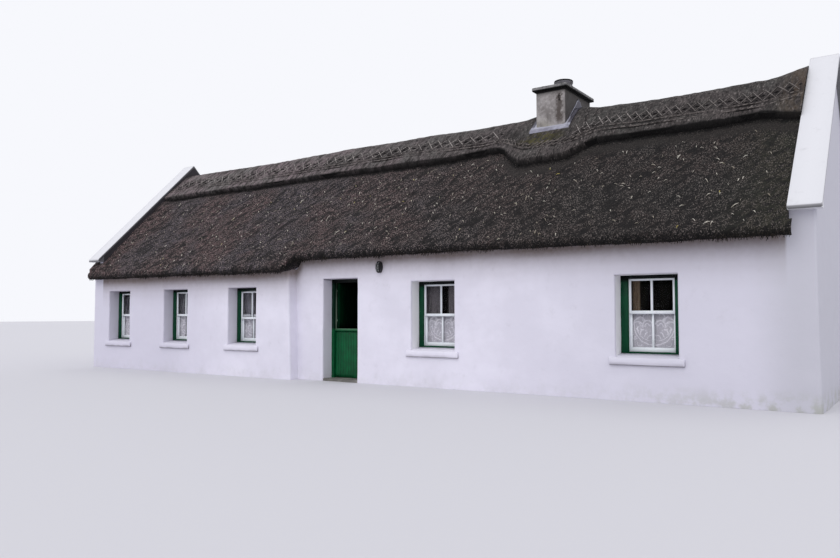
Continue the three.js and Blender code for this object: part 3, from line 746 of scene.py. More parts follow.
def paint_green(tree: Tree) -> Look:
    """Wires green paint with soft brush marks and faded spots."""
    brush = tree.noise(tree.place((1.0, 1.0, 0.08)), 60.0, 3.0, 0.5)
    faded = tree.noise(tree.place(), 5.0, 4.0, 0.6)
    colour = tree.tones(faded, 0.35, 0.7, (4, 74, 42), (8, 94, 54))
    colour = tree.mix(tree.band(brush, 0.55, 0.8, 0.0, 0.18), colour, rgb(40, 112, 78))
    # Dark board joints, and a painted shadow under the ledge.
    colour = tree.mix(tree.times(tree.mark("groove_and_shadow"), 0.5), colour, rgb(1, 34, 20))
    # Painted highlight along the ledge's top edge.
    colour = tree.mix(tree.mark("worn"), colour, rgb(132, 160, 136))
    return colour, tree.band(faded, 0.3, 0.7, 0.4, 0.6), brush


def paint_frame_green(tree: Tree) -> Look:
    """Wires the window and door frames' darker green, with painted shade making it nearly black under the
    heads.
    """
    colour, roughness, brush = paint_green(tree)
    colour = tree.mix(0.6, colour, rgb(6, 44, 34))
    # Painted shade near black under the heads.
    return tree.mix(tree.band(tree.axis("Z"), 1.8, 1.865), colour, rgb(4, 10, 9)), roughness, brush


def paint_door_frame(tree: Tree) -> Look:
    """Wires the door frame: painted shade above the half door and under the head, with a painted highlight on
    the left rebate.
    """
    colour, roughness, brush = paint_green(tree)
    high = tree.band(tree.axis("Z"), 1.0, 1.05)
    # Painted shade above the half door.
    colour = tree.mix(tree.times(high, 0.9), colour, rgb(3, 28, 20))
    # Painted shadow under the head.
    colour = tree.mix(tree.band(tree.axis("Z"), 1.9, 1.965), colour, rgb(4, 10, 9))
    # Painted highlight on the left rebate above the half door.
    rebate = tree.times(tree.band(tree.axis("Y"), -2.206, -2.2035), tree.band(tree.axis("X"), -0.55, -0.556))
    pale = tree.times(rebate, tree.band(tree.axis("Z"), 1.9, 1.55, 0.2, 1.0), high)
    return tree.mix(pale, colour, rgb(140, 158, 140)), roughness, brush


def paint_upper_leaf(tree: Tree) -> Look:
    """Wires the upper leaf, darkened in the room as painted shade."""
    colour, roughness, brush = paint_green(tree)
    # Painted shade, deeper into the room.
    dark = tree.band(tree.axis("Y"), -2.16, -1.9, 0.8, 0.95)
    return tree.mix(dark, colour, rgb(2, 14, 9)), roughness, brush


def paint_white(tree: Tree) -> Look:
    """Wires white gloss paint with faint grime."""
    grime = tree.noise(tree.place(), 12.0, 5.0, 0.6)
    colour = tree.mix(tree.band(grime, 0.56, 0.8, 0.0, 0.4), rgb(236, 240, 244), rgb(190, 196, 196))
    return colour, tree.band(grime, 0.3, 0.7, 0.4, 0.6), tree.noise(tree.place((1, 1, 0.1)), 70.0, 2.0)


def paint_floor_cement(tree: Tree) -> Look:
    """Wires the trowelled cement of the floor and the doorstep."""
    place = tree.place()
    patch = tree.noise(place, 3.0, 5.0, 0.6)
    colour = tree.tones(patch, 0.35, 0.68, (104, 102, 98), (142, 140, 134))
    return colour, 0.85, tree.noise(place, 40.0, 4.0, 0.6)


def build_glass() -> Material:
    """Returns window glass that lets light into the rooms and ripples a little."""
    material, tree, shader = blank("window_glass")
    ripple = tree.noise(tree.place(), 5.0, 2.0)
    values = {"Roughness": 0.02, "Transmission Weight": 1.0, "IOR": 1.12}
    values["Base Color"] = tree.tones(ripple, 0.3, 0.7, (240, 239, 241), (230, 229, 232))
    values["Normal"] = tree.node("Bump", in_Strength=0.1, in_Distance=0.002, in_Height=ripple).outputs[0]
    for name, value in values.items():
        tree.feed(value, shader.inputs[name])
    shadow = tree.node("LightPath").outputs["Is Shadow Ray"]
    clear = tree.node("BsdfTransparent", in_0=rgb(232, 231, 233)).outputs[0]
    mixed = tree.node("MixShader", in_0=shadow, in_1=shader.outputs[0], in_2=clear)
    tree.feed(mixed.outputs[0], material.node_tree.nodes["Material Output"].inputs[0])
    return material


def build_cloth(name: str, light: tuple, shade: tuple, thin: float, laced: bool = False) -> Material:
    """Returns a curtain cloth that lets some light through.

    Args:
        name: Name of the material.
        light: Its pale colour.
        shade: Its dark colour.
        thin: Share of the plain net that is open.
        laced: True works a mirrored scroll pattern into it.

    Returns:
        The material.
    """
    material, tree, shader = blank(name)
    shader.inputs["Roughness"].default_value = 0.9
    shader.inputs["Specular IOR Level"].default_value = 0.1
    cloth = tree.node("Attribute", attribute_name="cloth").outputs["Vector"]
    weave = tree.noise(tree.place((1.0, 1.0, 0.2)), 120.0, 2.0)
    motif = lace_motif(tree, cloth) if laced else tree.band(weave, 0.3, 0.7, 0.0, 0.4)
    if laced:
        stitch = tree.noise(cloth, 75.0, 2.0)
        motif = tree.times(motif, tree.band(stitch, 0.38, 0.5, 0.45, 1.0))
        motif = tree.math("MAXIMUM", motif, tree.band(stitch, 0.55, 0.66, 0.0, 0.5))
    tree.feed(tree.mix(motif, shade, light), shader.inputs["Base Color"])
    tree.feed(tree.math("ADD", tree.math("MULTIPLY", motif, thin), 1.0 - thin, True), shader.inputs["Alpha"])
    return material


def arc_group() -> bpy.types.NodeTree:
    """Returns the node group that draws one thread along part of a circle.

    Its inputs are the place on the cloth, the circle's middle, radius and the angles in
    radians between which it is drawn. It puts out 1 on the thread and 0 off it.
    """
    found = bpy.data.node_groups.get("thread_arc")
    if found:
        return found
    group = bpy.data.node_groups.new("thread_arc", "ShaderNodeTree")
    sockets = (("Place", "NodeSocketVector"), ("Middle", "NodeSocketVector"))
    for name, kind in sockets + tuple((n, "NodeSocketFloat") for n in ("Radius", "From", "To", "Half")):
        group.interface.new_socket(name, in_out="INPUT", socket_type=kind)
    group.interface.new_socket("Thread", in_out="OUTPUT", socket_type="NodeSocketFloat")
    tree = Tree(group)
    given = group.nodes.new("NodeGroupInput").outputs
    away = tree.node("VectorMath", operation="SUBTRACT", in_0=given["Place"], in_1=given["Middle"]).outputs[0]
    parts = tree.node("SeparateXYZ", in_0=away).outputs
    angle = tree.math("ARCTAN2", parts["Y"], parts["X"])
    far = tree.node("VectorMath", operation="LENGTH", in_0=away).outputs["Value"]
    off = tree.math("ABSOLUTE", tree.math("SUBTRACT", far, given["Radius"]))
    line = tree.band(off, tree.math("MULTIPLY", given["Half"], 0.45), given["Half"], 1.0, 0.0)
    past, short = tree.math("GREATER_THAN", angle, given["From"]), tree.math("LESS_THAN", angle, given["To"])
    tree.feed(tree.times(line, past, short), group.nodes.new("NodeGroupOutput").inputs[0])
    return group


LACE_ARCS = (
    (0.218, 0.43, 0.088, -0.5, 2.7, 0.018),
    (0.25, 0.41, 0.05, 0.2, 3.1, 0.012),
    (0.105, 0.4, 0.074, -0.3, 3.3, 0.016),
    (0.11, 0.385, 0.038, -0.3, 3.4, 0.012),
    (0.017, 0.38, 0.285, -1.571, 0.05, 0.012),
    (0.03, 0.4, 0.24, -1.4, -0.2, 0.007),
    (0.16, 0.29, 0.05, -0.6, 1.4, 0.013),
    (0.1, 0.24, 0.05, -0.4, 1.6, 0.013),
    (0.045, 0.2, 0.05, -0.2, 1.7, 0.011),
    (0.205, 0.34, 0.045, -0.8, 1.1, 0.011),
    (0.29, 0.22, 0.04, -2.2, 0.8, 0.008),
    (0.22, 0.12, 0.04, -2.6, 0.4, 0.008),
    (0.24, 0.56, 0.05, 0.3, 2.9, 0.012),
    (0.12, 0.53, 0.04, -0.2, 2.6, 0.009),
)
"""Middle across and up, radius, first and last angle and half the width of each thread of lace."""


def lace_motif(tree: Tree, cloth: Socket) -> Socket:
    """Wires a lace pattern of scrolls and swags, mirrored about the curtain's middle.

    Args:
        tree: The tree to wire it in.
        cloth: Place on the cloth, in metres from the middle of its hem.

    Returns:
        1 where the thread is dense and 0 on the open net.
    """
    parts = tree.node("SeparateXYZ", in_0=cloth)
    mirrored = tree.math("ABSOLUTE", parts.outputs["X"])
    flat = tree.node("CombineXYZ", in_X=mirrored, in_Y=parts.outputs["Y"]).outputs[0]
    bent = tree.node("TexNoise", in_Vector=flat, in_Scale=9.0, in_Detail=1.0)
    swayed = tree.node("VectorMath", operation="SUBTRACT", in_0=bent.outputs["Color"], in_1=(0.5, 0.5, 0.5))
    sway = {"in_0": swayed.outputs[0], "in_1": (0.05, 0.05, 0.0), "in_2": flat}
    shifted = tree.node("VectorMath", operation="MULTIPLY_ADD", **sway).outputs[0]
    total = None
    for x, y, radius, first, last, half in LACE_ARCS:
        arc = tree.tree.nodes.new("ShaderNodeGroup")
        arc.node_tree = arc_group()
        tree.feed(shifted, arc.inputs["Place"])
        for spot, value in enumerate(((x, y, 0.0), radius, first, last, half), 1):
            arc.inputs[spot].default_value = value
        total = arc.outputs[0] if total is None else tree.math("MAXIMUM", total, arc.outputs[0])
    cells = tree.node("TexVoronoi", feature="F1", in_Vector=shifted, in_Scale=24.0)
    clumps = tree.band(tree.noise(flat, 7.0, 2.0), 0.48, 0.58, 0.0, 0.8)
    leaves = tree.times(tree.band(cells.outputs["Distance"], 0.5, 0.3), clumps)
    hem = tree.band(parts.outputs["Y"], 0.035, 0.02, 0.0, 0.7)
    return tree.math("MAXIMUM", tree.math("MAXIMUM", total, leaves), hem, True)


# Camera, light and floor
def paint_studio_floor(_: Tree) -> Look:
    """Returns the plain pale floor's colour and roughness."""
    return rgb(204, 203, 208), 0.9, None


@dataclass(frozen=True)
class Studio:
    """Camera at the photograph's angle, soft light and a plain pale floor."""

    eye: tuple[float, float, float] = (9.525, -13.724, 1.307)
    yaw: float = 34.80
    pitch: float = 2.74
    lens: float = 32.16

    def build(self) -> None:
        """Makes the camera, the lights and the floor."""
        self._camera()
        self._light()
        self._floor()
        bpy.context.scene.view_settings.view_transform = "Standard"

    def _camera(self) -> None:
        """Adds the camera."""
        data = bpy.data.cameras.new("camera")
        data.lens, data.sensor_width = self.lens, 36.0
        data.clip_end = 300.0
        camera = bpy.data.objects.new("camera", data)
        yaw, pitch = math.radians(self.yaw), math.radians(self.pitch)
        ahead = Vector((-math.sin(yaw) * math.cos(pitch), math.cos(yaw) * math.cos(pitch), math.sin(pitch)))
        camera.location = self.eye
        camera.rotation_euler = ahead.to_track_quat("-Z", "Y").to_euler()
        show(camera)
        bpy.context.scene.camera = camera

    def _light(self) -> None:
        """Adds an overcast sky and one broad soft lamp."""
        world = bpy.data.worlds.new("sky")
        bpy.context.scene.world = world
        world.use_nodes = True
        tree = Tree(world.node_tree)
        shader = world.node_tree.nodes["Background"]
        shader.inputs["Color"].default_value = rgb(247, 248, 253)
        shader.inputs["Strength"].default_value = 1.0
        data = bpy.data.lights.new("sun", "SUN")
        data.energy = 0.8
        data.angle = math.radians(60)
        lamp = bpy.data.objects.new("sun", data)
        lamp.rotation_euler = Vector((-0.12, 0.8, -0.95)).to_track_quat("-Z", "Y").to_euler()
        show(lamp)

    def _floor(self) -> None:
        """Adds the floor."""
        skin = Skin()
        across = np.array([-1.0, 1.0]) * 140.0
        y, x = np.meshgrid(across, across, indexing="ij")
        skin.add_grid(np.stack([x, y, np.full_like(x, -0.001)], 2))
        mesh = skin.mesh("floor")
        mesh.materials.append(Finish("floor", paint_studio_floor).build())
        obj = bpy.data.objects.new("floor", mesh)
        show(obj)


# Thatch
RUN_ON = 7.915
"""Where the eaves end on the right, in front of the upstand."""
EAVE_NOSE = ((0.008, 0.022), (0.014, 0.045), (0.009, 0.07), (0.0, 0.092), (-0.034, 0.118))
"""Distance out and down of each point round the eave's rounded edge."""


@dataclass
class ThatchCoat:
    """Lumpy coat over the CAD thatch, from under the ridge block round the eaves.

    Attributes:
        side: -1 for the front and 1 for the back.
        finish: Its material.
        proud: How far it stands off the CAD.
        lump: Height of its broad lumps.
        rows: Points down the slope.
    """

    side: int
    finish: Material
    proud: float = 0.014
    lump: float = 0.012
    rows: int = 72

    def profile(self, x: Array) -> Array:
        """Lays the coat's section from the ridge round the eave to the wall head.

        Args:
            x: The places along the house.

        Returns:
            The (d, z) points of each section.
        """
        reach, face = Roof.eave_reach(x), Roof.wall_face(x)
        eave = Roof.thatch_top(x, reach)
        shares = np.linspace(0.24, 1.0, self.rows)
        top = [np.stack([t * reach, Roof.thatch_top(x, t * reach)], 1) for t in shares]
        nose = [np.stack([reach + out, eave - down], 1) for out, down in EAVE_NOSE]
        seat = UNDER_APEX - PITCH * (face - SEAT_WIDTH)
        last = nose[-1]
        foot = np.stack([face - 0.02, seat], 1)
        below = [last + (foot - last) * t for t in (0.25, 0.5, 0.75, 1.0)]
        return np.stack([*top, *nose, *below])

    def build(self) -> Object:
        """Makes the coat."""
        ends = [UPSTAND - 0.001, UPSTAND + 0.03, RUN_ON]
        x = np.concatenate([np.arange(EAVE_CORNER, UPSTAND, 0.032), ends])
        section = self.profile(x)
        out, z = section[..., 0], section[..., 1]
        grid = np.stack([np.broadcast_to(x, z.shape), self.side * out, z], 2)
        normal = normals_of(grid) * (1 if self.side > 0 else -1)
        if normal[5, 5, 2] < 0:
            normal = -normal
        flat = grid.reshape(-1, 3)
        waves = (self.lump, 3 + self.side, 0.7), (0.008, 5 + self.side, (0.12, 0.25, 0.25))
        rise = lumps(flat, self.proud, *waves, (0.004, 7 + self.side, (0.05, 0.1, 0.1)))
        past = out - along(APRON_LINE, x)
        edge = ease((past + 0.02) / 0.03) * ease(1.0 - (past - 0.1) / 0.4) * ease((0.5 - x) / 2.0)
        gable = ease((-7.4 - x) / 0.4) * (np.arange(len(section)) < self.rows - 2)[:, None]
        rise += (0.018 * edge + 0.05 * gable).ravel()
        grid = grid + normal * np.maximum(rise, 0.002).reshape(grid.shape[:2])[..., None]
        quads = grid_faces(*grid.shape[:2])
        quads = quads[self._kept(grid)[quads].all(1)]
        skin = Skin().add(grid, quads if self.side > 0 else quads[:, ::-1])
        name = "thatch_coat_front" if self.side < 0 else "thatch_coat_back"
        obj = Piece(name, self.finish, "thatch").build(skin)
        self._mark(obj.data, out)
        return obj

    def _kept(self, grid: Array) -> Array:
        """Picks the points that aren't inside the upstands.

        Args:
            grid: The coat's points.

        Returns:
            True at each point that stays.
        """
        x, d = grid[..., 0].ravel(), np.abs(grid[..., 1]).ravel()
        left = (x > -UPSTAND + 0.001) | (d > FACE_LEFT + 0.002)
        return left & ((x < UPSTAND) | (d > 2.69))

    def _mark(self, mesh: Mesh, reach: Array) -> None:
        """Stores how shaded each point is, and where the smooth strip under the ridge lies.

        Args:
            mesh: The coat.
            reach: Distance of each grid point from the ridge line.
        """
        place = points_of(mesh)
        past = reach.ravel() - along(APRON_LINE, place[:, 0])
        rough = 0.03 * SmoothNoise(9, 0.3).at(place)
        shade = ease(1.0 - (past + 0.035) / (0.06 + rough)) * 0.97
        nose = np.zeros(reach.shape)
        nose[self.rows:] = np.array([0.1, 0.55, 0.8, 0.9, 0.97, 1.0, 1.0, 1.0, 1.0])[:, None]
        store(mesh, "shade", np.maximum(shade, nose.ravel() * 0.86))
        strip = ease((past + 0.02) / 0.03) * ease(1.0 - (past - 0.1) / 0.12)
        store(mesh, "strip", strip * (0.2 + 0.65 * ease((place[:, 0] - 1.5) / 1.5)))


@dataclass
class RidgeCoat:
    """Lumpy coat over the CAD ridge block.

    Attributes:
        finish: Its material.
        proud: How far it stands off the CAD.
        cut: Breadth of its cut lower edge.
        apron: Half the length and width of the lead, under which it lies close.
        stack: Half the length and width of the gap that it leaves for the stack.
    """

    finish: Material
    proud: float = 0.01
    cut: float = 0.084
    apron: tuple[float, float] = (0.43, 0.735)
    stack: tuple[float, float] = (0.29, 0.61)

    def build(self) -> Object:
        """Makes the coat."""
        x = np.append(np.arange(-UPSTAND + 0.001, UPSTAND, 0.035), UPSTAND - 0.001)
        edge = along(APRON_LINE, x)
        shares = np.linspace(-1.0, 1.0, 81)
        grid = np.stack([np.stack([x, t * edge, Roof.ridge_top(x, np.abs(t) * edge)], 1) for t in shares])
        normal = normals_of(grid)
        if normal[40, 5, 2] < 0:
            normal = -normal
        rise = lumps(grid.reshape(-1, 3), self.proud, (0.01, 11, 0.5), (0.007, 12, (0.08, 0.3, 0.3)))
        rise = np.maximum(rise, 0.002).reshape(grid.shape[:2])
        under = self.within(grid, self.apron)
        rise = np.where(under, 0.0012, rise)
        grid = grid + normal * rise[..., None]
        foot = []
        for row, side in ((grid[0], -1), (grid[-1], 1)):
            inner = row.copy()
            inner[:, 1] -= side * self.cut
            inner[:, 2] = Roof.thatch_top(row[:, 0], np.abs(inner[:, 1])) - 0.02
            foot.append(inner)
        grid = np.concatenate([foot[0][None], grid, foot[1][None]])
        quads = grid_faces(*grid.shape[:2])
        inside = self.within(grid.reshape(-1, 3)[quads].mean(1), self.stack)
        obj = Piece("ridge_coat", self.finish, "ridge_thatch").build(Skin().add(grid, quads[~inside]))
        self._mark(obj.data, len(x))
        return obj

    @staticmethod
    def within(points: Array, half: tuple[float, float]) -> Array:
        """Returns True at points in a rectangle round the chimney's middle."""
        return (np.abs(points[..., 0] - CHIMNEY_X) < half[0]) & (np.abs(points[..., 1]) < half[1])

    @staticmethod
    def _mark(mesh: Mesh, cols: int) -> None:
        """Stores the painted shade of the cut edge, the moss under the chimney and the painted shade in the
        band of crossed spars.

        Args:
            mesh: The coat.
            cols: Points in each row of its grid.
        """
        place = points_of(mesh)
        shade = np.zeros((len(place) // cols, cols))
        level = along(CUT_SHADE, place[:cols, 0])
        shade[[0, -1]] = 1.0
        shade[[1, -2]] = level
        shade[[2, -3]] = np.maximum(level - 0.5, 0.0)
        store(mesh, "shade", shade.ravel())
        far = np.hypot((place[:, 0] - 3.38) / 0.36, (np.abs(place[:, 1]) - 0.9) / 0.13)
        store(mesh, "moss", ease(1.6 - far))
        high = along(LIGGER_HIGH, place[:, 0])
        over = (high - np.abs(place[:, 1])) / 0.3
        store(mesh, "spar_shade", ease(over / 0.2) * ease((1.0 - over) / 0.3))


# Small shapes
def bars(boxes: Sequence[Sequence[float]], bevel: float = 0.003) -> Faces:
    """Makes boxes with bevelled edges.

    Args:
        boxes: x0, x1, y0, y1, z0, z1 of each.
        bevel: Width of the bevel.

    Returns:
        Points and quads.
    """
    b = np.array(boxes, float)
    lo, hi = b[:, [0, 2, 4]], b[:, [1, 3, 5]]
    ends = np.array([[0, 0], [1, 0], [1, 0], [1, 1], [1, 1], [0, 1], [0, 1], [0, 0]])
    cut = np.array([[1, 0], [-1, 0], [0, 1], [0, -1], [-1, 0], [1, 0], [0, -1], [0, 1]])
    inward = np.where(ends == 0, 1.0, -1.0)
    flat = np.where(ends[None] == 0, lo[:, None, :2], hi[:, None, :2])
    side = flat + cut * bevel
    end = side + inward * bevel * 0.6
    levels = [(end, lo[:, 2]), (side, lo[:, 2] + bevel), (side, hi[:, 2] - bevel), (end, hi[:, 2])]
    rings = [np.concatenate([xy, np.repeat(z[:, None, None], 8, 1)], 2) for xy, z in levels]
    points = np.stack(rings, 1)
    walls = grid_faces(4, 8, True)
    lid = np.array([[0, 1, 2, 3], [0, 3, 4, 7], [4, 5, 6, 7]])
    one = np.concatenate([walls, lid[:, ::-1], lid + 24])
    quads = one[None] + np.arange(len(b))[:, None, None] * 32
    return points.reshape(-1, 3), quads.reshape(-1, 4)


def rods(paths: Array, radius: Array | float, taper: Sequence[float] | None = None) -> Faces:
    """Makes four-sided rods along short paths.

    Args:
        paths: (rods, points, 3) centre lines.
        radius: Radius of each rod.
        taper: Share of the radius at each point of the path.

    Returns:
        Points and quads.
    """
    paths = np.asarray(paths, float)
    count, steps = paths.shape[:2]
    ahead = unit(np.gradient(paths, axis=1))
    steep = np.abs(ahead[..., 2:]) > 0.9
    up = np.where(steep, np.array([1.0, 0.0, 0.0]), np.array([0.0, 0.0, 1.0]))
    side = unit(np.cross(ahead, up))
    top = np.cross(side, ahead)
    share = np.ones(steps) if taper is None else np.asarray(taper, float)
    size = np.broadcast_to(np.asarray(radius, float).reshape(-1, 1), (count, 1)) * share
    angle = np.radians([45, 135, 225, 315])
    ring = np.cos(angle)[:, None] * side[..., None, :] + np.sin(angle)[:, None] * top[..., None, :]
    points = paths[:, :, None] + ring * size[..., None, None]
    walls = grid_faces(steps, 4, True)[:, ::-1]
    last = (steps - 1) * 4
    lids = np.array([[0, 1, 2, 3], [last + 3, last + 2, last + 1, last]])
    one = np.concatenate([walls, lids])
    quads = one[None] + np.arange(count)[:, None, None] * steps * 4
    return points.reshape(-1, 3), quads.reshape(-1, 4)


def carried(rings: Array) -> Faces:
    """Joins (stations, points, 3) closed rings into one body with its ends shut.

    Args:
        rings: The rings; each has an even number of points.

    Returns:
        Points and quads.
    """
    stations, count = rings.shape[:2]
    walls = grid_faces(stations, count, True)
    pairs = np.arange(count // 2 - 1)
    lid = np.stack([pairs, pairs + 1, count - 2 - pairs, count - 1 - pairs], 1)
    far = lid + (stations - 1) * count
    return rings.reshape(-1, 3), np.concatenate([walls, lid[:, ::-1], far])


# Walls
@dataclass(frozen=True)
class Hole:
    """An opening in the walls.

    Attributes:
        left: Distance round the walls where it starts.
        right: Distance where it ends.
        foot: Height of its foot.
        head: Height of its head.
        deep: Depth of its reveal.
    """

    left: float
    right: float
    foot: float
    head: float
    deep: float = 0.255


class Plan:
    """Line round the outside of the walls, with its corners worn round."""

    corners = np.array([
        [LEFT_END, -FACE_LEFT], [STEP_X, -FACE_LEFT], [STEP_X, -FACE_RIGHT], [RIGHT_END, -FACE_RIGHT],
        [RIGHT_END, FACE_RIGHT], [STEP_X, FACE_RIGHT], [STEP_X, FACE_LEFT], [LEFT_END, FACE_LEFT],
        [LEFT_END, -FACE_LEFT],
    ])
    stops = np.concatenate([[0.0], np.cumsum(np.linalg.norm(np.diff(corners, axis=0), axis=1))])
    wear = 0.022

    @classmethod
    def raw(cls, s: Array) -> Array:
        """Returns the sharp line's (x, y) at each distance."""
        s = np.mod(s, cls.stops[-1])
        return np.stack([np.interp(s, cls.stops, cls.corners[:, k]) for k in (0, 1)], -1)

    @classmethod
    def line(cls, s: Array, z: Array) -> Array:
        """Returns the worn line's (x, y) at each distance and height."""
        shifts = np.linspace(-cls.wear, cls.wear, 9)
        xy = np.mean([cls.raw(s + shift) for shift in shifts], axis=0)
        near = ease(1.0 - np.abs(xy[..., 0] - STEP_X) / 0.3)
        xy[..., 0] += 0.08 * np.clip(1.0 - z / 2.3, 0.0, 1.0) * near
        return xy

    @classmethod
    def base(cls, s: Array, z: Array) -> tuple[Array, Array]:
        """Returns points on the line and their outward normals."""
        xy = cls.line(s, z)
        ahead = cls.line(s + 0.002, z) - cls.line(s - 0.002, z)
        normal = np.stack([ahead[..., 1], -ahead[..., 0], np.zeros_like(z)], -1)
        return np.concatenate([xy, z[..., None]], -1), unit(normal)


FRONT_RIGHT_START = 8.2 + FACE_LEFT - FACE_RIGHT
"""Added to x, it gives the distance along the front's right part."""


class WallPart(Enum):
    """Stretches of the walls, by the corners where they start and end."""

    FRONT = (0, 3)
    RIGHT_GABLE = (3, 4)
    BACK = (4, 7)
    LEFT_GABLE = (7, 8)


STAIN_AND_SHADE = np.array([
    [0.0, 0.9], [0.06, 0.76], [0.1, 0.6], [0.17, 0.4], [0.25, 0.26], [0.36, 0.15], [0.55, 0.05], [0.75, 0.0],
])
# How strongly the wall is stained and darkened with painted shade at each depth under the eaves.
"""How stained the wall is at each depth under the eaves."""


@dataclass
class WallCoat:
    """Coat of limewashed render over one stretch of the walls, with its reveals.

    Attributes:
        part: The stretch.
        holes: Its openings.
        finish: Its material.
        step: Spacing of the mesh.
        worn: Radius of the worn arrises round the openings.
        split: Height above which the mesh's rows follow the roof.
    """

    part: WallPart
    holes: list[Hole]
    finish: Material
    step: float = 0.035
    worn: float = 0.026
    split: float = 2.06

    @property
    def edge(self) -> float:
        """How far outside an opening its worn arris starts."""
        return self.worn - 0.008

    @property
    def tall(self) -> bool:
        """True for a gable."""
        return self.part in (WallPart.LEFT_GABLE, WallPart.RIGHT_GABLE)

    def rise(self, points: Array) -> Array:
        """Works out how far the coat stands off the CAD.

        Args:
            points: The (n, 3) points.

        Returns:
            The n distances.
        """
        flat = points.reshape(-1, 3)
        waves = (0.005, 21, (0.8, 0.8, 0.5)), (0.004, 22, (0.26, 0.26, 0.2))
        lump = lumps(flat, 0.0125, *waves, (0.0015, 23, (0.09, 0.09, 0.08)))
        x, z = flat[:, 0], flat[:, 2]
        lump += 0.02 * ease(1.0 - z / 1.3) * ease((x - 7.6) / 0.5)
        return np.maximum(lump, 0.0085).reshape(points.shape[:-1])

    def top(self, s: Array) -> Array:
        """Works out the height of the coat's upper edge.

        Args:
            s: Distances along the plan's line.

        Returns:
            The heights.
        """
        xy = Plan.raw(s)
        x, d = xy[..., 0], np.abs(xy[..., 1])
        if self.tall:
            left = x < 0
            reach, foot = (np.where(left, *pair) for pair in zip(COPING_LEFT, COPING_RIGHT))
            slope = COPING_APEX - COPING_DEPTH - (COPING_APEX - foot) / reach * d
            return np.maximum(slope + 0.006, foot - COPING_DEPTH + 0.004)
        seat = UNDER_APEX - PITCH * (Roof.wall_face(x) - SEAT_WIDTH) + 0.012
        seat = np.where(x < -7.72, 2.65, seat)
        return np.where(x > 7.72, 2.729, seat)

    def lines(self, start: float, stop: float, musts: Sequence[float]) -> Array:
        """Spaces the mesh's lines evenly, with some fixed ones among them.

        Args:
            start: The first line.
            stop: The last line.
            musts: Lines that must be among them.

        Returns:
            The sorted lines.
        """
        even = np.linspace(start, stop, int((stop - start) / self.step) + 2)
        fixed = np.array([m for m in musts if start < m < stop])
        if len(fixed):
            even = even[np.abs(even[:, None] - fixed).min(1) > 0.35 * self.step]
        return np.unique(np.concatenate([even, fixed, [start, stop]]))

    def build(self) -> Object:
        """Makes the coat."""
        start, stop = (Plan.stops[k] for k in self.part.value)
        corners = [c + t * Plan.wear for c in Plan.stops for t in (-1.2, -0.6, 0.0, 0.6, 1.2)]
        jambs = [v for h in self.holes for v in (h.left - self.edge, h.right + self.edge)]
        s = self.lines(start, stop, [*corners, *jambs])
        musts = [v for h in self.holes for v in (h.foot, h.head + self.edge)]
        low = self.lines(0.0, self.split, [m for m in musts if m > 0])
        share = np.linspace(0.0, 1.0, 60 if self.tall else 8)[1:]
        tops = self.top(s)
        high = self.split + share[:, None] * (tops - self.split)[None]
        z = np.concatenate([np.repeat(low[:, None], len(s), 1), high])
        along_s = np.broadcast_to(s, z.shape)
        base, normal = Plan.base(along_s, z)
        grid = base + normal * self.rise(base)[..., None]
        quads = grid_faces(*z.shape)
        mid_s = along_s.ravel()[quads].mean(1)
        mid_z = z.ravel()[quads].mean(1)
        for hole in self.holes:
            inside = (mid_s > hole.left - self.edge) & (mid_s < hole.right + self.edge)
            inside &= (mid_z > hole.foot) & (mid_z < hole.head + self.edge)
            quads, mid_s, mid_z = quads[~inside], mid_s[~inside], mid_z[~inside]
        skin = Skin().add(grid, quads)
        for hole in self.holes:
            skin.add_grid(self._reveal(hole, s, low), flip=True)
        name = "coat_" + self.part.name.lower()
        obj = Piece(name, self.finish, "limewash").build(skin, merge=0.0004)
        self._mark(obj.data)
        return obj

    def _reveal(self, hole: Hole, s: Array, z: Array) -> Array:
        """Carries the reveal's profile up one jamb, over and down the other.

        Args:
            hole: The opening.
            s: The mesh's lines across.
            z: The mesh's lines up.

        Returns:
            The grid.
        """
        left, right, head = hole.left - self.edge, hole.right + self.edge, hole.head + self.edge
        up = z[(z >= hole.foot - 1e-6) & (z <= head + 1e-6)]
        over = s[(s > left + 1e-6) & (s < right - 1e-6)]
        at_s = np.concatenate([np.full(len(up), left), over, np.full(len(up), right)])
        at_z = np.concatenate([up, np.full(len(over), head), up[::-1]])
        off = (left + right) / 2 - at_s
        way_s = np.sign(off) * (np.abs(off) > (right - left) / 2 - 1e-6)
        way_z = -(at_z > head - 1e-6).astype(float)
        base, normal = Plan.base(at_s, at_z)
        rise = self.rise(base)
        turns = np.radians(np.linspace(0, 90, 6))
        rings = [(self.worn * np.sin(turn), rise - self.worn * (1 - np.cos(turn))) for turn in turns]
        first = rings[-1][1]
        for share in np.linspace(0, 1, 8)[1:]:
            depth = first + share * (-hole.deep - first)
            rings.append((np.full(len(at_s), self.worn), depth))
        out = []
        for inward, depth in rings:
            spot, _ = Plan.base(at_s + way_s * inward, at_z + way_z * inward)
            lump = 0.0025 * SmoothNoise(25, 0.2).at(spot - normal * depth[:, None])
            lump *= np.clip(-depth / 0.05, 0.0, 1.0)
            shift = np.stack([way_s * normal[:, 1] * -1, np.zeros_like(way_s), way_z], 1)
            out.append(spot + normal * depth[:, None] + shift * lump[:, None])
        return np.stack(out)

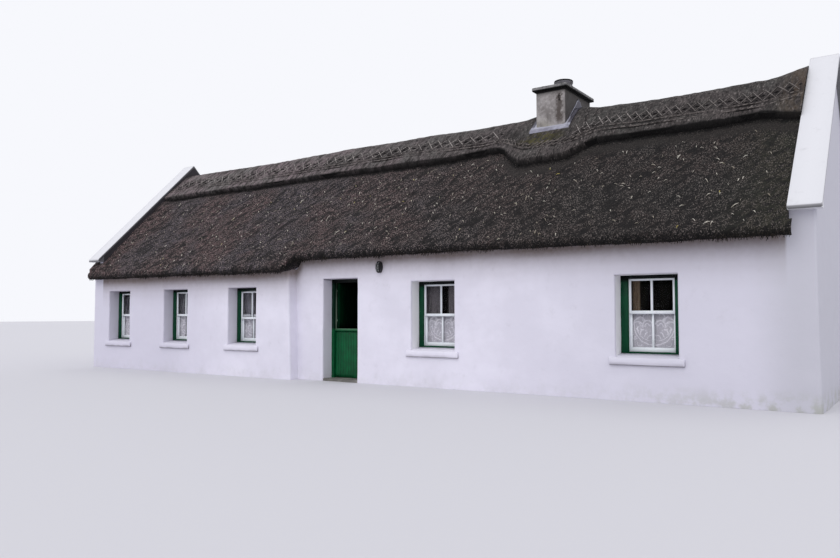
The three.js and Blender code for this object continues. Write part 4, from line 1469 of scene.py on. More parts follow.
    def _mark(self, mesh: Mesh) -> None:
        """Stores how strongly each point is stained by what runs off the eaves and darkened with painted
        shade under them, and where the reveals are.
        """
        points = points_of(mesh)
        x, z = points[:, 0], points[:, 2]
        seat = UNDER_APEX - PITCH * (Roof.wall_face(x) - SEAT_WIDTH)
        gap = seat - z
        drip = SmoothNoise(31, (0.09, 0.3, 9.0)).at(points)
        broad = SmoothNoise(32, (0.8, 0.8, 9.0)).at(points)
        size = np.maximum(0.93 + 0.16 * broad + 0.05 * drip, 0.3)
        gap = gap - 0.085 + 0.03 * broad
        stain = along(STAIN_AND_SHADE, gap / size)
        runs = ease((SmoothNoise(33, (0.05, 0.3, 60.0)).at(points) - 0.62) / 0.2)
        stain = np.maximum(stain, 0.14 * runs * ease(1.0 - gap / 0.55))
        stain *= (np.abs(x) < 7.82) * (0.0 if self.tall else 1.0)
        store(mesh, "stain", stain)
        behind = np.where(x < STEP_X - 0.03, FACE_LEFT, FACE_RIGHT) - np.abs(points[:, 1])
        store(mesh, "inside", ease((behind - 0.01) / 0.03) * (0.0 if self.tall else 1.0))


@dataclass
class Copings:
    """White coats over both gables' copings: a worn rectangle carried over the apex."""

    finish: Material
    proud: float = 0.005

    def build(self) -> None:
        """Makes both."""
        self._one("coping_coat_left", -COPING_EDGE, -UPSTAND, *COPING_LEFT)
        self._one("coping_coat_right", UPSTAND, COPING_EDGE, *COPING_RIGHT)

    def _one(self, name: str, x0: float, x1: float, reach: float, foot: float) -> None:
        """Makes one coping's coat.

        Args:
            name: Name of the piece.
            x0: Its left edge.
            x1: Its right edge.
            reach: How far it reaches from the ridge.
            foot: Height of its top there.
        """
        p = self.proud
        r = 0.012
        half = np.linspace(0, reach + p, 70)
        y = np.sort(np.concatenate([-half[::-1], half[1:], [r - half[-1], half[-1] - r]]))
        fall = (COPING_APEX - foot) / reach
        high = COPING_APEX - fall * np.abs(y) + p
        low = np.maximum(high - COPING_DEPTH - 2 * p, foot - COPING_DEPTH - p)
        inset = 0.008 * (1 - np.clip((reach + p - np.abs(y)) / r, 0.0, 1.0))
        left, right = x0 - p + inset, x1 + p - inset
        rim = ((left, r, high, 0), (left, 0, high, r), (left, 0, low, -r), (left, r, low, 0))
        rim += ((right, -r, low, 0), (right, 0, low, -r), (right, 0, high, r), (right, -r, high, 0))
        rings = []
        for x, dx, z, dz in rim:
            z = z - inset if z is high else z + inset
            rings.append(np.stack([x + dx, y, z - dz], 1))
        grid = np.stack(rings, 1)
        flat = grid.reshape(-1, 3)
        flat[:, 2] += lumps(flat, 0.0, (0.004, 41, (0.5, 0.35, 0.35)), (0.002, 42, 0.1))
        points, quads = carried(grid)
        obj = Piece(name, self.finish, "coping_white").build(Skin().add(points, quads))
        # The lower edges and the ends are marked for painted shade.
        under = (np.repeat(high[:, None], 8, 1).ravel() - points[:, 2] - 0.02) / 0.012
        ending = (0.02 - (reach + p - np.abs(points[:, 1]))) / 0.02
        store(obj.data, "edge", np.maximum(ease(under), ease(ending) * ease(under + 0.5)))


@dataclass
class Sills:
    """Worn coats over the stone sills under the windows."""

    finish: Material
    ear: float = 0.08

    def build(self, windows: Sequence["Window"]) -> None:
        """Makes one coat for all."""
        skin = Skin()
        for window in windows:
            skin.add(*self._one(window))
        self.mark(Piece("sill_coats", self.finish, "limewash").build(skin).data)

    def _one(self, w: "Window") -> Faces:
        """Carries a sill's section along it, drawn in at both ends.

        Args:
            w: The window over it.

        Returns:
            Its points and quads.
        """
        out, top, bed, foot = w.face + 0.056, 0.657, w.face - 0.02, 0.544
        section = [(w.front, 0.7125), (w.face - 0.1, 0.685), (out - 0.014, top + 0.002)]
        section += [(out - 0.004, top - 0.006), (out, top - 0.016), (out + 0.001, 0.6)]
        section += [(out, foot + 0.014), (out - 0.006, foot + 0.004)]
        section += [(out - 0.016, foot), (bed, foot), (w.face - 0.1, 0.58), (w.front, 0.6)]
        half = w.width / 2 + self.ear + 0.006
        ends = np.array([0.0, 0.006, 0.016, 0.05])
        run = np.linspace(w.x - half + 0.1, w.x + half - 0.1, 24)
        x = np.concatenate([w.x - half + ends, run, w.x + half - ends[::-1]])
        near = np.clip(np.minimum(x - (w.x - half), (w.x + half) - x) / 0.016, 0, 1)
        inset = 0.012 * (1 - np.sqrt(1 - (1 - near) ** 2))
        middle = np.array([w.face - 0.02, 0.61])
        rings = []
        for d, z in section:
            shift = np.array([d, z]) - middle
            size = np.maximum(np.linalg.norm(shift), 1e-6)
            moved = middle + shift * (1 - inset[:, None] / size)
            rings.append(np.stack([x, w.side * moved[:, 0], moved[:, 1]], 1))
        grid = np.stack(rings, 1)
        if w.side > 0:
            grid = grid[:, ::-1]
        flat = grid.reshape(-1, 3)
        flat += 0.0022 * SmoothNoise(45, (0.12, 0.1, 0.06)).at(flat)[:, None] * np.array([0, w.side, 0.6])
        return carried(grid)

    @staticmethod
    def mark(mesh: Mesh) -> None:
        """Stores the sills' lower edges, where a painted shadow line goes."""
        store(mesh, "under", ease((0.56 - points_of(mesh)[:, 2]) / 0.006))


# Windows
@dataclass(frozen=True)
class Window:
    """A sliding sash window.

    Attributes:
        name: Start of its pieces' names.
        x: Its middle.
        width: Width of its opening.
        face: Distance of the wall's face from the ridge line.
        head: Height of the opening's head.
        side: -1 at the front and 1 at the back.
        jamb: Breadth of the box frame's sides.
        meet: Height where the sashes meet.
        slip: How far the upper sash's head and its foot hang low.
        foot: Height of the frame's foot.
        deep: Depth of the frame.
        head_rail: Height of the frame's head.
        foot_rail: Height of the frame's foot piece.
        stile: Breadth of a sash's upright sides.
        thick: Thickness of a sash.
        meeting: Height of the rails that meet.
        upper: Distance of the upper sash's face behind the frame's.
        lower: The same for the lower sash.
    """

    name: str
    x: float
    width: float
    face: float
    head: float
    side: int = -1
    jamb: float = 0.1
    meet: float = 1.278
    slip: tuple[float, float] = (0.0, 0.0)
    foot: float = 0.7083
    deep: float = 0.128
    head_rail: float = 0.062
    foot_rail: float = 0.028
    stile: float = 0.04
    thick: float = 0.041
    meeting: float = 0.044
    upper: float = 0.03
    lower: float = 0.0756

    @property
    def front(self) -> float:
        """Distance of the frame's face."""
        return self.face - REVEAL

    @property
    def left(self) -> float:
        """The frame's left edge."""
        return self.x - self.width / 2 + GAP

    @property
    def right(self) -> float:
        """The frame's right edge."""
        return self.x + self.width / 2 - GAP

    @property
    def inner(self) -> tuple[float, float]:
        """The frame's inner edges."""
        return self.left + self.jamb, self.right - self.jamb

    @property
    def opening(self) -> tuple[float, float]:
        """Heights between which the sashes stand."""
        return self.foot + self.foot_rail, self.head - GAP - self.head_rail

    def hole(self) -> Hole:
        """Returns its opening."""
        if self.side < 0:
            start = 8.2 if self.face == FACE_LEFT else FRONT_RIGHT_START
            return Hole(self.x - self.width / 2 + start, self.x + self.width / 2 + start, 0.63, self.head)
        corner = Plan.stops[6] if self.face == FACE_LEFT else Plan.stops[4]
        turn = STEP_X if self.face == FACE_LEFT else RIGHT_END
        middle = corner + (turn - self.x)
        return Hole(middle - self.width / 2, middle + self.width / 2, 0.63, self.head)

    def box(self, x0: float, x1: float, d0: float, d1: float, z0: float, z1: float) -> list[float]:
        """Returns a box given by distances behind the frame's face."""
        y = sorted([self.side * (self.front - d0), self.side * (self.front - d1)])
        return [x0, x1, y[0], y[1], z0, z1]

    def frame(self) -> Faces:
        """Returns the green box frame with its beads."""
        left, right, inner, (low, high) = self.left, self.right, self.inner, self.opening
        foot, top, deep = self.foot, self.head - GAP, self.deep
        pieces = [
            self.box(left, inner[0], 0.0, deep, foot, top),
            self.box(inner[1], right, 0.0, deep, foot, top),
            self.box(*inner, 0.0, deep, high, top),
            self.box(*inner, 0.0, deep, foot, low),
        ]
        for x0 in (left + 0.056, right - 0.066):
            pieces.append(self.box(x0, x0 + 0.01, -0.006, 0.0, foot, top))
        for x0, x1 in ((inner[0], inner[0] + 0.008), (inner[1] - 0.008, inner[1])):
            for d0, d1 in ((0.018, 0.03), (0.0712, 0.0754)):
                pieces.append(self.box(x0, x1, d0, d1, low, high))
        return bars(pieces, 0.0025)

    def sash(self, z0: float, z1: float, top: float, bottom: float, d0: float) -> list[list[float]]:
        """Returns one sash's boxes.

        Args:
            z0: Height of its foot.
            z1: Height of its head.
            top: Height of its top rail.
            bottom: Height of its bottom rail.
            d0: Distance of its face behind the frame's.

        Returns:
            The boxes.
        """
        left, right = self.inner
        middle, bar, bead = (left + right) / 2, 0.014, 0.005
        a, b, d1 = left + self.stile, right - self.stile, d0 + self.thick
        low, high = z0 + bottom, z1 - top
        made = [
            self.box(left, a, d0, d1, z0, z1),
            self.box(b, right, d0, d1, z0, z1),
            self.box(a, b, d0, d1, high, z1),
            self.box(a, b, d0, d1, z0, low),
            self.box(middle - bar, middle + bar, d0 + 0.006, d1 - 0.004, low, high),
        ]
        for x0, x1 in ((a, middle - bar), (middle + bar, b)):
            made.append(self.box(x0, x0 + bead, d0 + 0.008, d0 + 0.018, low, high))
            made.append(self.box(x1 - bead, x1, d0 + 0.008, d0 + 0.018, low, high))
            made.append(self.box(x0, x1, d0 + 0.008, d0 + 0.018, low, low + bead))
            made.append(self.box(x0, x1, d0 + 0.008, d0 + 0.018, high - bead, high))
        return made

    def sashes(self) -> Faces:
        """Returns both sashes and the guides that the upper one runs in."""
        (foot, top), hang, (left, right) = self.opening, self.meet - self.slip[1], self.inner
        upper = self.sash(hang, top - self.slip[0], 0.026, self.meeting, self.upper)
        lower = self.sash(foot, self.meet + self.meeting, self.meeting, 0.065, self.lower)
        guides = [
            self.box(x0, x1, 0.032, self.lower, foot, hang - 0.002)
            for x0, x1 in ((left, left + 0.009), (right - 0.009, right))
        ]
        return bars([*upper, *lower, *guides], 0.0025)

    def panes(self) -> Faces:
        """Returns the four panes."""
        left, right = self.inner
        middle = (left + right) / 2
        upper = (0.049, self.meet - self.slip[1] + 0.04, self.opening[1] - 0.022 - self.slip[0])
        made = []
        for d0, z0, z1 in (upper, (0.0945, 0.796, self.meet + 0.004)):
            for a, b in ((left + 0.036, middle - 0.01), (middle + 0.01, right - 0.036)):
                made.append(self.box(a, b, d0, d0 + 0.004, z0, z1))
        return bars(made, 0.0008)

    def build(self, green: Material, white: Material, glass: Material) -> None:
        """Makes its frame, sashes and panes."""
        name = self.name
        for part, finish, slot, faces, replaced in (
            ("_frame", green, "green_paint", self.frame(), (name + "_joinery",)),
            ("_sashes", white, "white_paint", self.sashes(), ()),
            ("_panes", glass, "window_glass", self.panes(), (name + "_glass",)),
        ):
            Piece(name + part, finish, slot, HOUSE, False, replaced).build(Skin().add(*faces))


WINDOWS = [
    Window("window_1", -7.14, 0.86, FACE_LEFT, 1.9),
    Window("window_2", -4.97, 0.86, FACE_LEFT, 1.9),
    Window("window_3", -2.74, 0.88, FACE_LEFT, 1.9, slip=(0.022, 0.062)),
    Window("window_4", 1.995, 0.95, FACE_RIGHT, 1.93, meet=1.283),
    Window("window_5", 5.864, 0.972, FACE_RIGHT, 1.93, jamb=0.122, meet=1.325),
]
BACK_WINDOWS = [
    Window("back_window_1", -4.97, 0.86, FACE_LEFT, 1.9, side=1),
    Window("back_window_2", 1.995, 0.95, FACE_RIGHT, 1.93, side=1, meet=1.283),
    Window("back_window_3", 5.864, 0.972, FACE_RIGHT, 1.93, side=1, jamb=0.122, meet=1.325),
]


# Curtains
@dataclass(frozen=True)
class Curtain:
    """A hanging cloth with upright folds.

    Attributes:
        name: Name of the piece.
        x0: Its left edge.
        x1: Its right edge.
        y: Where it hangs.
        z0: Height of its hem.
        z1: Height of its top.
        folds: Number of folds.
        deep: Depth of the folds.
        seed: Picks how uneven they are.
    """

    name: str
    x0: float
    x1: float
    y: float
    z0: float
    z1: float
    folds: float
    deep: float
    seed: int = 1

    def build(self, finish: Material, slot: str, holder: str, replaced: tuple[str, ...] = ()) -> None:
        """Args:
            finish: Its material.
            slot: The record's material slot.
            holder: Name of the piece that it hangs from; not used.
            replaced: CAD nodes that it takes the place of.
        """
        cols = int(max(40, self.folds * 12))
        share = np.linspace(0, 1, cols)
        down = np.linspace(0, 1, 26)
        across, drop = np.meshgrid(share, down)
        spot = np.stack([across * self.folds / 2, drop * 1.5, np.full_like(drop, self.seed)], 2)
        uneven = SmoothNoise(60 + self.seed).at(spot.reshape(-1, 3)).reshape(across.shape)
        turn = 2 * np.pi * (across * self.folds + 0.35 * uneven)
        loose = 0.45 + 0.55 * ease(drop)
        y = self.y + self.deep * loose * np.sin(turn) * (1 + 0.3 * uneven)
        x = self.x0 + (self.x1 - self.x0) * across + 0.25 * self.deep * loose * np.sin(2 * turn)
        z = self.z1 - (self.z1 - self.z0) * drop + 0.004 * np.sin(turn) * drop
        x = np.clip(x, self.x0, self.x1)
        grid = np.stack([x, y, z], 2)
        skin = Skin().add_grid(grid, flip=self.y > 0)
        obj = Piece(self.name, finish, slot, stands_for=replaced).build(skin)
        flat = obj.data.attributes.new("cloth", "FLOAT_VECTOR", "POINT")
        place = np.stack([(across - 0.5) * (self.x1 - self.x0), z - self.z0, np.zeros_like(z)], 2)
        flat.data.foreach_set("vector", place.astype(np.float32).ravel())


def hang_curtains(window: Window, paints: "Palette") -> None:
    """Hangs a front window's half curtain of lace and its side curtains.

    Args:
        window: The window.
        paints: The finishes.
    """
    left, right = window.inner[0] + 0.003, window.inner[1] - 0.003
    behind = window.side * (window.front - 0.129)
    plain = window.name == "window_5"
    folds, deep = (9, 0.003) if plain else (15, 0.006)
    lace = Curtain(f"{window.name}_lace", left, right, behind, 0.748, window.meet + 0.034, folds, deep, 3)
    lace.build(paints.lace, "lace", window.name + "_sashes", (window.name + "_curtain",))
    room = window.side * (window.front - 0.175)
    holder = window.name + "_frame"
    wide = right - left
    if plain:
        for name, x0, x1, folds, seed, paint in (
            ("net_left", left - 0.08, left + 0.02, 3, 5, paints.net),
            ("drape_left", left + 0.03, left + 0.14, 3, 5, paints.drape),
            ("drape_right", right - 0.1, right + 0.06, 4, 6, paints.drape),
        ):
            cloth = Curtain(f"{window.name}_{name}", x0, x1, room, 0.72, 1.88, folds, 0.012, seed)
            cloth.build(paint, "lace", holder)
        return
    nets = (("net_left", left - 0.06, left + 0.44 * wide), ("net_right", right - 0.4 * wide, right + 0.06))
    for k, (name, x0, x1) in enumerate(nets):
        cloth = Curtain(f"{window.name}_{name}", x0, x1, room, 0.72, 1.86, 7, 0.012, 7 + k)
        cloth.build(paints.net if window.name == "window_4" else paints.veil, "lace", holder)


def draw_curtains(window: Window, paints: "Palette") -> None:
    """Hangs a back window's drawn curtains.

    Args:
        window: The window.
        paints: The finishes.
    """
    room = window.side * (window.front - 0.16)
    left, right, x = window.left, window.right, window.x
    halves = (("drape_left", left - 0.02, x + 0.01), ("drape_right", x - 0.01, right + 0.02))
    for k, (name, x0, x1) in enumerate(halves):
        shift = -0.014 * k * window.side
        cloth = Curtain(f"{window.name}_{name}", x0, x1, room + shift, 0.73, 1.9, 8, 0.012, 11 + k)
        cloth.build(paints.drape, "lace", window.name + "_frame")


# Door
@dataclass
class Door:
    """Boards of both leaves, the lower leaf's ledge and its keyhole."""

    green: Material
    upper: Material
    dark: Material

    @staticmethod
    def boards(width: float, count: int, heights: Array, seed: int) -> tuple[Array, Array, Array]:
        """Lays upright boards with V grooves between them.

        Args:
            width: Width of them all.
            count: Number of boards.
            heights: Heights of the mesh's rows.
            seed: Picks how they stand against each other.

        Returns:
            Grids of the distance across, the height and the distance out.
        """
        board = width / count
        steps = np.array([0.0, 0.005, 0.01, board / 2, board - 0.01, board - 0.005])
        across = np.concatenate([k * board + steps for k in range(count)] + [[width]])
        level = np.tile([0.0006, 0.0008, 0.0042, 0.0045, 0.0042, 0.0008], count)
        jut = np.repeat(np.random.default_rng(seed).uniform(-0.0005, 0.0, count), 6)
        out = np.append(level + jut * (level > 0.003), 0.0006)
        grid = np.meshgrid(across, heights)
        return grid[0], grid[1], np.broadcast_to(out, grid[0].shape)

    @staticmethod
    def _folded(grid: Array, axis: int, back: float) -> Array:
        """Returns boards with a border folded back onto the leaf.

        Args:
            grid: The boards.
            axis: Number of the axis that they face along.
            back: Where the leaf lies on that axis.

        Returns:
            The wider grid.
        """
        edge = grid[:, [0, -1]].copy()
        edge[..., axis] = back
        grid = np.concatenate([edge[:, :1], grid, edge[:, 1:]], 1)
        ends = grid[[0, -1]].copy()
        ends[..., axis] = back
        return np.concatenate([ends[:1], grid, ends[1:]])

    def build(self) -> None:
        """Makes the pieces."""
        self._lower()
        across, z, out = self.boards(0.765, 8, np.linspace(1.043, 1.952, 10), 6)
        grid = self._folded(np.stack([-0.518 + out, -2.151 + across, z], 2), 0, -0.5182)
        Piece("upper_door_boards", self.upper, "green_paint", HOUSE, False).build(Skin().add_grid(grid))

    def _lower(self) -> None:
        """Makes the lower leaf's boards, ledge and keyhole."""
        across, z, out = self.boards(0.747, 11, np.linspace(0.064, 0.987, 16), 5)
        skin = Skin().add_grid(self._folded(np.stack([-0.5585 + across, -2.2 - out, z], 2), 1, -2.1998))
        mesh = Piece("lower_door_boards", self.green, "green_paint", LOWER_DOOR, False).build(skin).data
        place = points_of(mesh)
        # Board joints, and a painted shadow along the boards' top under the ledge.
        store(mesh, "groove_and_shadow", np.maximum(ease((place[:, 1] + 2.2036) / 0.0026), place[:, 2] > 0.98))
        skin = Skin().add(*bars([[-0.5535, 0.1725, -2.233, -2.199, 0.985, 1.0335]], 0.005))
        mesh = Piece("lower_door_ledge", self.green, "green_paint", LOWER_DOOR, False).build(skin).data
        # Painted highlight along the ledge's top edge.
        store(mesh, "worn", ease((points_of(mesh)[:, 2] - 1.026) / 0.005) * 0.5)
        profile = ((0.013, -2.2035), (0.013, -2.2068), (0.0105, -2.208), (0.006, -2.208), (0.005, -2.2055))
        rings = [oval(-0.19, 0.925, radius, radius, y, 24) for radius, y in profile]
        skin = Skin().add(*carried(np.stack(rings)))
        Piece("lower_door_keyhole", self.dark, "lamp_metal", LOWER_DOOR).build(skin)


# Lamp
@dataclass
class Lamp:
    """Dark casing and guard of the oval lamp by the door.

    Attributes:
        metal: Material of both.
        x: Its middle.
        z: Its height.
    """

    metal: Material
    x: float = 0.815
    z: float = 2.21

    def build(self) -> None:
        """Makes the casing and the guard."""
        profile = (
            (0.0615, 0.1075, -2.5105), (0.0655, 0.1115, -2.513), (0.0665, 0.1125, -2.574),
            (0.0645, 0.1105, -2.582), (0.0595, 0.1055, -2.582), (0.0565, 0.1025, -2.574),
            (0.0565, 0.1025, -2.53),
        )
        skin = Skin().add_grid(np.stack([oval(self.x, self.z, *ring) for ring in profile]), wrap=True)
        turn = np.linspace(-1, 1, 15) * np.pi / 2
        over, out, back = np.sin(turn), np.cos(turn), -2.5535
        for lift in (-0.045, 0.0, 0.045):
            wide = 0.056 * math.sqrt(1 - (lift / 0.1) ** 2)
            path = np.stack([self.x + wide * over, back - 0.045 * out, np.full(15, self.z + lift)], 1)
            skin.add(*rods(path[None], 0.0035))
        path = np.stack([np.full(15, self.x), back - 0.0465 * out, self.z + 0.1 * over], 1)
        skin.add(*rods(path[None], 0.0035))
        Piece("lamp_guard", self.metal, "lamp_metal").build(skin)


# Chimney
@dataclass
class Chimney:
    """Coats over the stack, its cap and its pot, and the dressed lead."""

    cement: Material
    cap: Material
    pot: Material
    lead: Material
    x: float = CHIMNEY_X

    def loop(self, half_x: float, half_y: float, z: float, corner: float = 0.02, count: int = 96) -> Array:
        """Lays points round a rectangle with rounded corners.

        Args:
            half_x: Half its length along X.
            half_y: Half its length along Y.
            z: Its height.
            corner: Radius of its corners.
            count: Number of points.

        Returns:
            The (count, 3) points.
        """
        angle = circle(count) + 0.02
        way = np.stack([np.cos(angle), np.sin(angle)], 1)
        core = np.array([half_x - corner, half_y - corner])
        reach = 1 / np.maximum(np.abs(way[:, 0]) / half_x, np.abs(way[:, 1]) / half_y)
        spot = way * reach[:, None]
        held = np.clip(spot, -core, core)
        rest = spot - held
        size = np.linalg.norm(rest, axis=1, keepdims=True)
        spot = held + np.where(size > corner, rest / np.maximum(size, 1e-9) * corner, rest)
        return np.stack([self.x + spot[:, 0], spot[:, 1], np.full(count, z)], 1)

    def build(self) -> None:
        """Makes the pieces."""
        levels = np.linspace(4.78, 5.634, 30)
        grid = np.stack([self.loop(0.302, 0.627, z, 0.03, 160) for z in levels])
        self._rough(grid, 0.004, 51)
        Piece("stack_coat", self.cement, "chimney_cement").build(Skin().add_grid(grid, wrap=True))
        profile = [(0.3, 0.62, 5.6285, 0.02), (0.35, 0.675, 5.628, 0.02), (0.361, 0.686, 5.636, 0.025)]
        profile += [(0.363, 0.688, 5.663, 0.025), (0.36, 0.685, 5.692, 0.025), (0.35, 0.675, 5.7, 0.025)]
        profile += [(0.27, 0.45, 5.712, 0.1), (0.185, 0.185, 5.722, 0.18)]
        grid = np.stack([self.loop(*ring, 160) for ring in profile])
        self._rough(grid[1:6], 0.006, 52)
        Piece("cap_coat", self.cap, "chimney_cement").build(Skin().add_grid(grid, wrap=True))
        profile = [(0.178, 5.69), (0.175, 5.78), (0.171, 5.882), (0.185, 5.896), (0.1865, 5.94)]
        profile += [(0.181, 5.9475), (0.155, 5.9475), (0.15, 5.94), (0.15, 5.75)]
        over, out = np.cos(circle(48)), np.sin(circle(48))
        grid = np.stack([np.stack([self.x + r * over, r * out, np.full(48, z)], 1) for r, z in profile])
        self._rough(grid[:4], 0.0025, 53)
        Piece("pot_coat", self.pot, "pot_clay").build(Skin().add_grid(grid, wrap=True))
        self._lead()

    @staticmethod
    def _rough(grid: Array, height: float, seed: int) -> None:
        """Moves the points of a grid out and in by seeded lumps.

        Args:
            grid: The points, which are changed.
            height: Height of the lumps.
            seed: Picks the lumps.
        """
        flat = grid.reshape(-1, 3)
        away = unit(flat * np.array([1.0, 1.0, 0.0]) - np.array([CHIMNEY_X, 0.0, 0.0]))
        flat += away * (height * lumps(flat, 0.0, (0.6, seed, 0.2), (0.4, seed + 7, 0.05)))[:, None]

    def _lead(self) -> None:
        """Makes the lead: an apron bedded on the ridge and an upstand with a folded top edge."""
        skin = Skin()
        left, right, inner, outer = (3.058, 3.172), (3.758, 3.872), 0.615, 0.712
        across, d = np.linspace(0, 1, 26), np.linspace(-outer, outer, 120)
        for low, high in (left, right):
            x = np.broadcast_to(low + (high - low) * across, (120, 26))
            skin.add_grid(self._bedded(x, np.broadcast_to(d[:, None], (120, 26))))
        for side in (-1, 1):
            run = np.linspace(inner, outer, 12) if side > 0 else np.linspace(-outer, -inner, 12)
            skin.add_grid(self._bedded(*np.meshgrid(np.linspace(left[1], right[0], 40), run)))
            x = np.linspace(left[0], right[1], 60)
            edge = self._bedded(*np.meshgrid(x, np.array([side * outer] * 2)))
            edge[1 if side > 0 else 0, :, 2] -= 0.05
            skin.add_grid(edge)
        half_x, half_y = 0.3215, 0.6465
        loop = self.loop(half_x, half_y, 0.0, 0.012, 220)
        top = LEAD_APEX - LEAD_FALL * np.abs(loop[:, 1]) + 0.004
        rows = []
        folds = ((0.02, 0.0), (0.004, 0.0), (0.0, 0.004), (0.0, 0.012), (0.008, 0.02), (0.008, 0.4))
        for inset, drop in folds:
            ring = self.loop(half_x - inset, half_y - inset, 0.0, 0.012, 220)
            low = Roof.ridge_top(ring[:, 0], np.abs(ring[:, 1])) - 0.03
            ring[:, 2] = np.maximum(top - drop, low)
            rows.append(ring)
        skin.add_grid(np.stack(rows[::-1]), wrap=True)
        obj = Piece("lead_apron", self.lead, "lead").build(skin)
        place = points_of(obj.data)
        line = LEAD_APEX - LEAD_FALL * np.abs(place[:, 1])
        below = line - place[:, 2]
        lip = (below < 0.009) & (np.abs(place[:, 1]) < 0.66) & (np.abs(place[:, 0] - self.x) < 0.34)
        store(obj.data, "lip", lip.astype(float))
        # Painted shade in the crease round the upstand's foot.
        past = np.maximum(np.abs(place[:, 0] - self.x) - half_x, np.abs(place[:, 1]) - half_y)
        store(obj.data, "groove_and_shadow", ease(1.0 - np.abs(past - 0.004) / 0.012) * ~lip)

    @staticmethod
    def _bedded(x: Array, y: Array) -> Array:
        """Returns a grid of points on the lead's apron over the ridge."""
        place = np.stack([x, y, 0 * x], 2).reshape(-1, 3)
        ripple = 0.004 * SmoothNoise(57, (0.16, 0.1, 1.0)).at(place).reshape(x.shape)
        crest = Roof.ridge_top(np.full_like(x, CHIMNEY_X), np.abs(y))
        own = Roof.ridge_top(x, np.abs(y))
        return np.stack([x, y, np.maximum(crest + 0.033, own + 0.024) + ripple], 2)


# Roof work
LIGGER_LOW = np.array([
    [-7.9, 0.79], [1.5, 0.79], [2.45, 0.8], [3.2, 1.11], [3.9, 1.1], [4.56, 0.87], [7.85, 0.87],
])
LIGGER_HIGH = np.array([
    [-7.9, 0.715], [1.5, 0.715], [2.45, 0.72], [3.2, 1.03], [3.9, 1.02], [4.56, 0.775], [7.85, 0.775],
])
"""Distance of the two rows of long rods from the ridge line at each x."""


@dataclass
class RidgeWork:
    """Split rods that pin the ridge: crossed spars over a double row of long ones.

    Attributes:
        rod: Material of the crossed spars.
        ligger: Material of the long rods.
        shadow_black: Material of the painted shadows in the hollows round the crossings and under the long
            rods.
        pitch: Distance from one crossing to the next.
    """

    rod: Material
    ligger: Material
    shadow_black: Material
    pitch: float = 0.265

    @staticmethod
    def on_ridge(x: Array, d: Array, side: int, lift: float) -> Array:
        """Returns points a little above the ridge block."""
        return np.stack([x, side * d, Roof.ridge_top(x, d) + lift], -1)

    def build(self) -> None:
        """Makes the rods and the painted shadows of both slopes."""
        chance = np.random.default_rng(71)
        pale, dull, dark = Skin(), Skin(), Skin()
        for side in (-1, 1):
            for line in (LIGGER_LOW, LIGGER_HIGH):
                x = np.arange(-7.83, 7.83, 0.06)
                d = along(line, x) + 0.012 * SmoothNoise(73, (0.4, 1, 1)).at(np.stack([x, x * 0, x * 0], 1))
                dull.add(*rods(self.on_ridge(x, d, side, 0.018)[None], 0.009))
                # Painted shadow: a dark rod under each long rod.
                dark.add(*rods(self.on_ridge(x, d + 0.024, side, 0.011)[None], 0.007))
            self._crossings(chance, side, pale, dark)
            twist = np.arange(2.25, 4.2, 0.11)
            share = np.linspace(0, 1, 3)
            x = twist[:, None] + 0.15 * share
            up = np.where(twist[:, None] > 2.85, share, 1 - share)
            dull.add(*rods(self.on_ridge(x, along(LIGGER_HIGH, x) + 0.1 - up * 0.13, side, 0.032), 0.009))
        Piece("ridge_rods", self.rod, "ridge_thatch").build(pale)
        Piece("ridge_liggers", self.ligger, "ridge_thatch").build(dull)
        Piece("ridge_painted_shadows", self.shadow_black, "ridge_thatch").build(dark)

    def _crossings(self, chance: np.random.Generator, side: int, pale: Skin, dark: Skin) -> None:
        """Adds the crossed spars of one slope, each with painted shadows in the hollows round it.

        Args:
            chance: Source of their unevenness.
            side: -1 for the front and 1 for the back.
            pale: Gathers the rods.
            dark: Gathers the painted shadows.
        """
        start = np.concatenate([np.arange(-7.72, 2.35, self.pitch), np.arange(4.0, 7.62, 0.18)])
        start = start + chance.uniform(-0.015, 0.015, len(start))
        wide = np.where(start > 3.9, 0.19, 0.27)
        base = along(LIGGER_HIGH, start + 0.1) - 0.03 + chance.uniform(-0.012, 0.012, len(start))
        deep = 0.245 + chance.uniform(-0.02, 0.02, len(start))
        share = np.linspace(0, 1, 5)
        for way, lift, radius in ((1, 0.023, 0.0085), (-1, 0.02, 0.0065)):
            x = start[:, None] + wide[:, None] * share
            t = share if way > 0 else 1 - share
            d = base[:, None] - deep[:, None] * (1 - t)
            size = chance.uniform(0.75, 1.2, len(start)) * radius
            pale.add(*rods(self.on_ridge(x, d, side, lift), size, (0.6, 1.0, 1.0, 1.0, 0.6)))
        # Painted shadows: dark shapes in the hollows above each crossing and between neighbouring crossings.
        x = start[:, None] + wide[:, None] * np.array([0.3, 0.5, 0.7])
        d = base[:, None] - deep[:, None] * np.array([0.12, 0.16, 0.12])
        dark.add(*rods(self.on_ridge(x, d, side, 0.002), 0.026, (0.1, 1.0, 0.1)))
        x = start[:, None] + wide[:, None] * np.array([0.68, 1.0, 1.32])
        d = base[:, None] - deep[:, None] * np.array([0.52, 0.5, 0.52])
        dark.add(*rods(self.on_ridge(x, d, side, 0.0), 0.034, (0.1, 1.0, 0.1)))


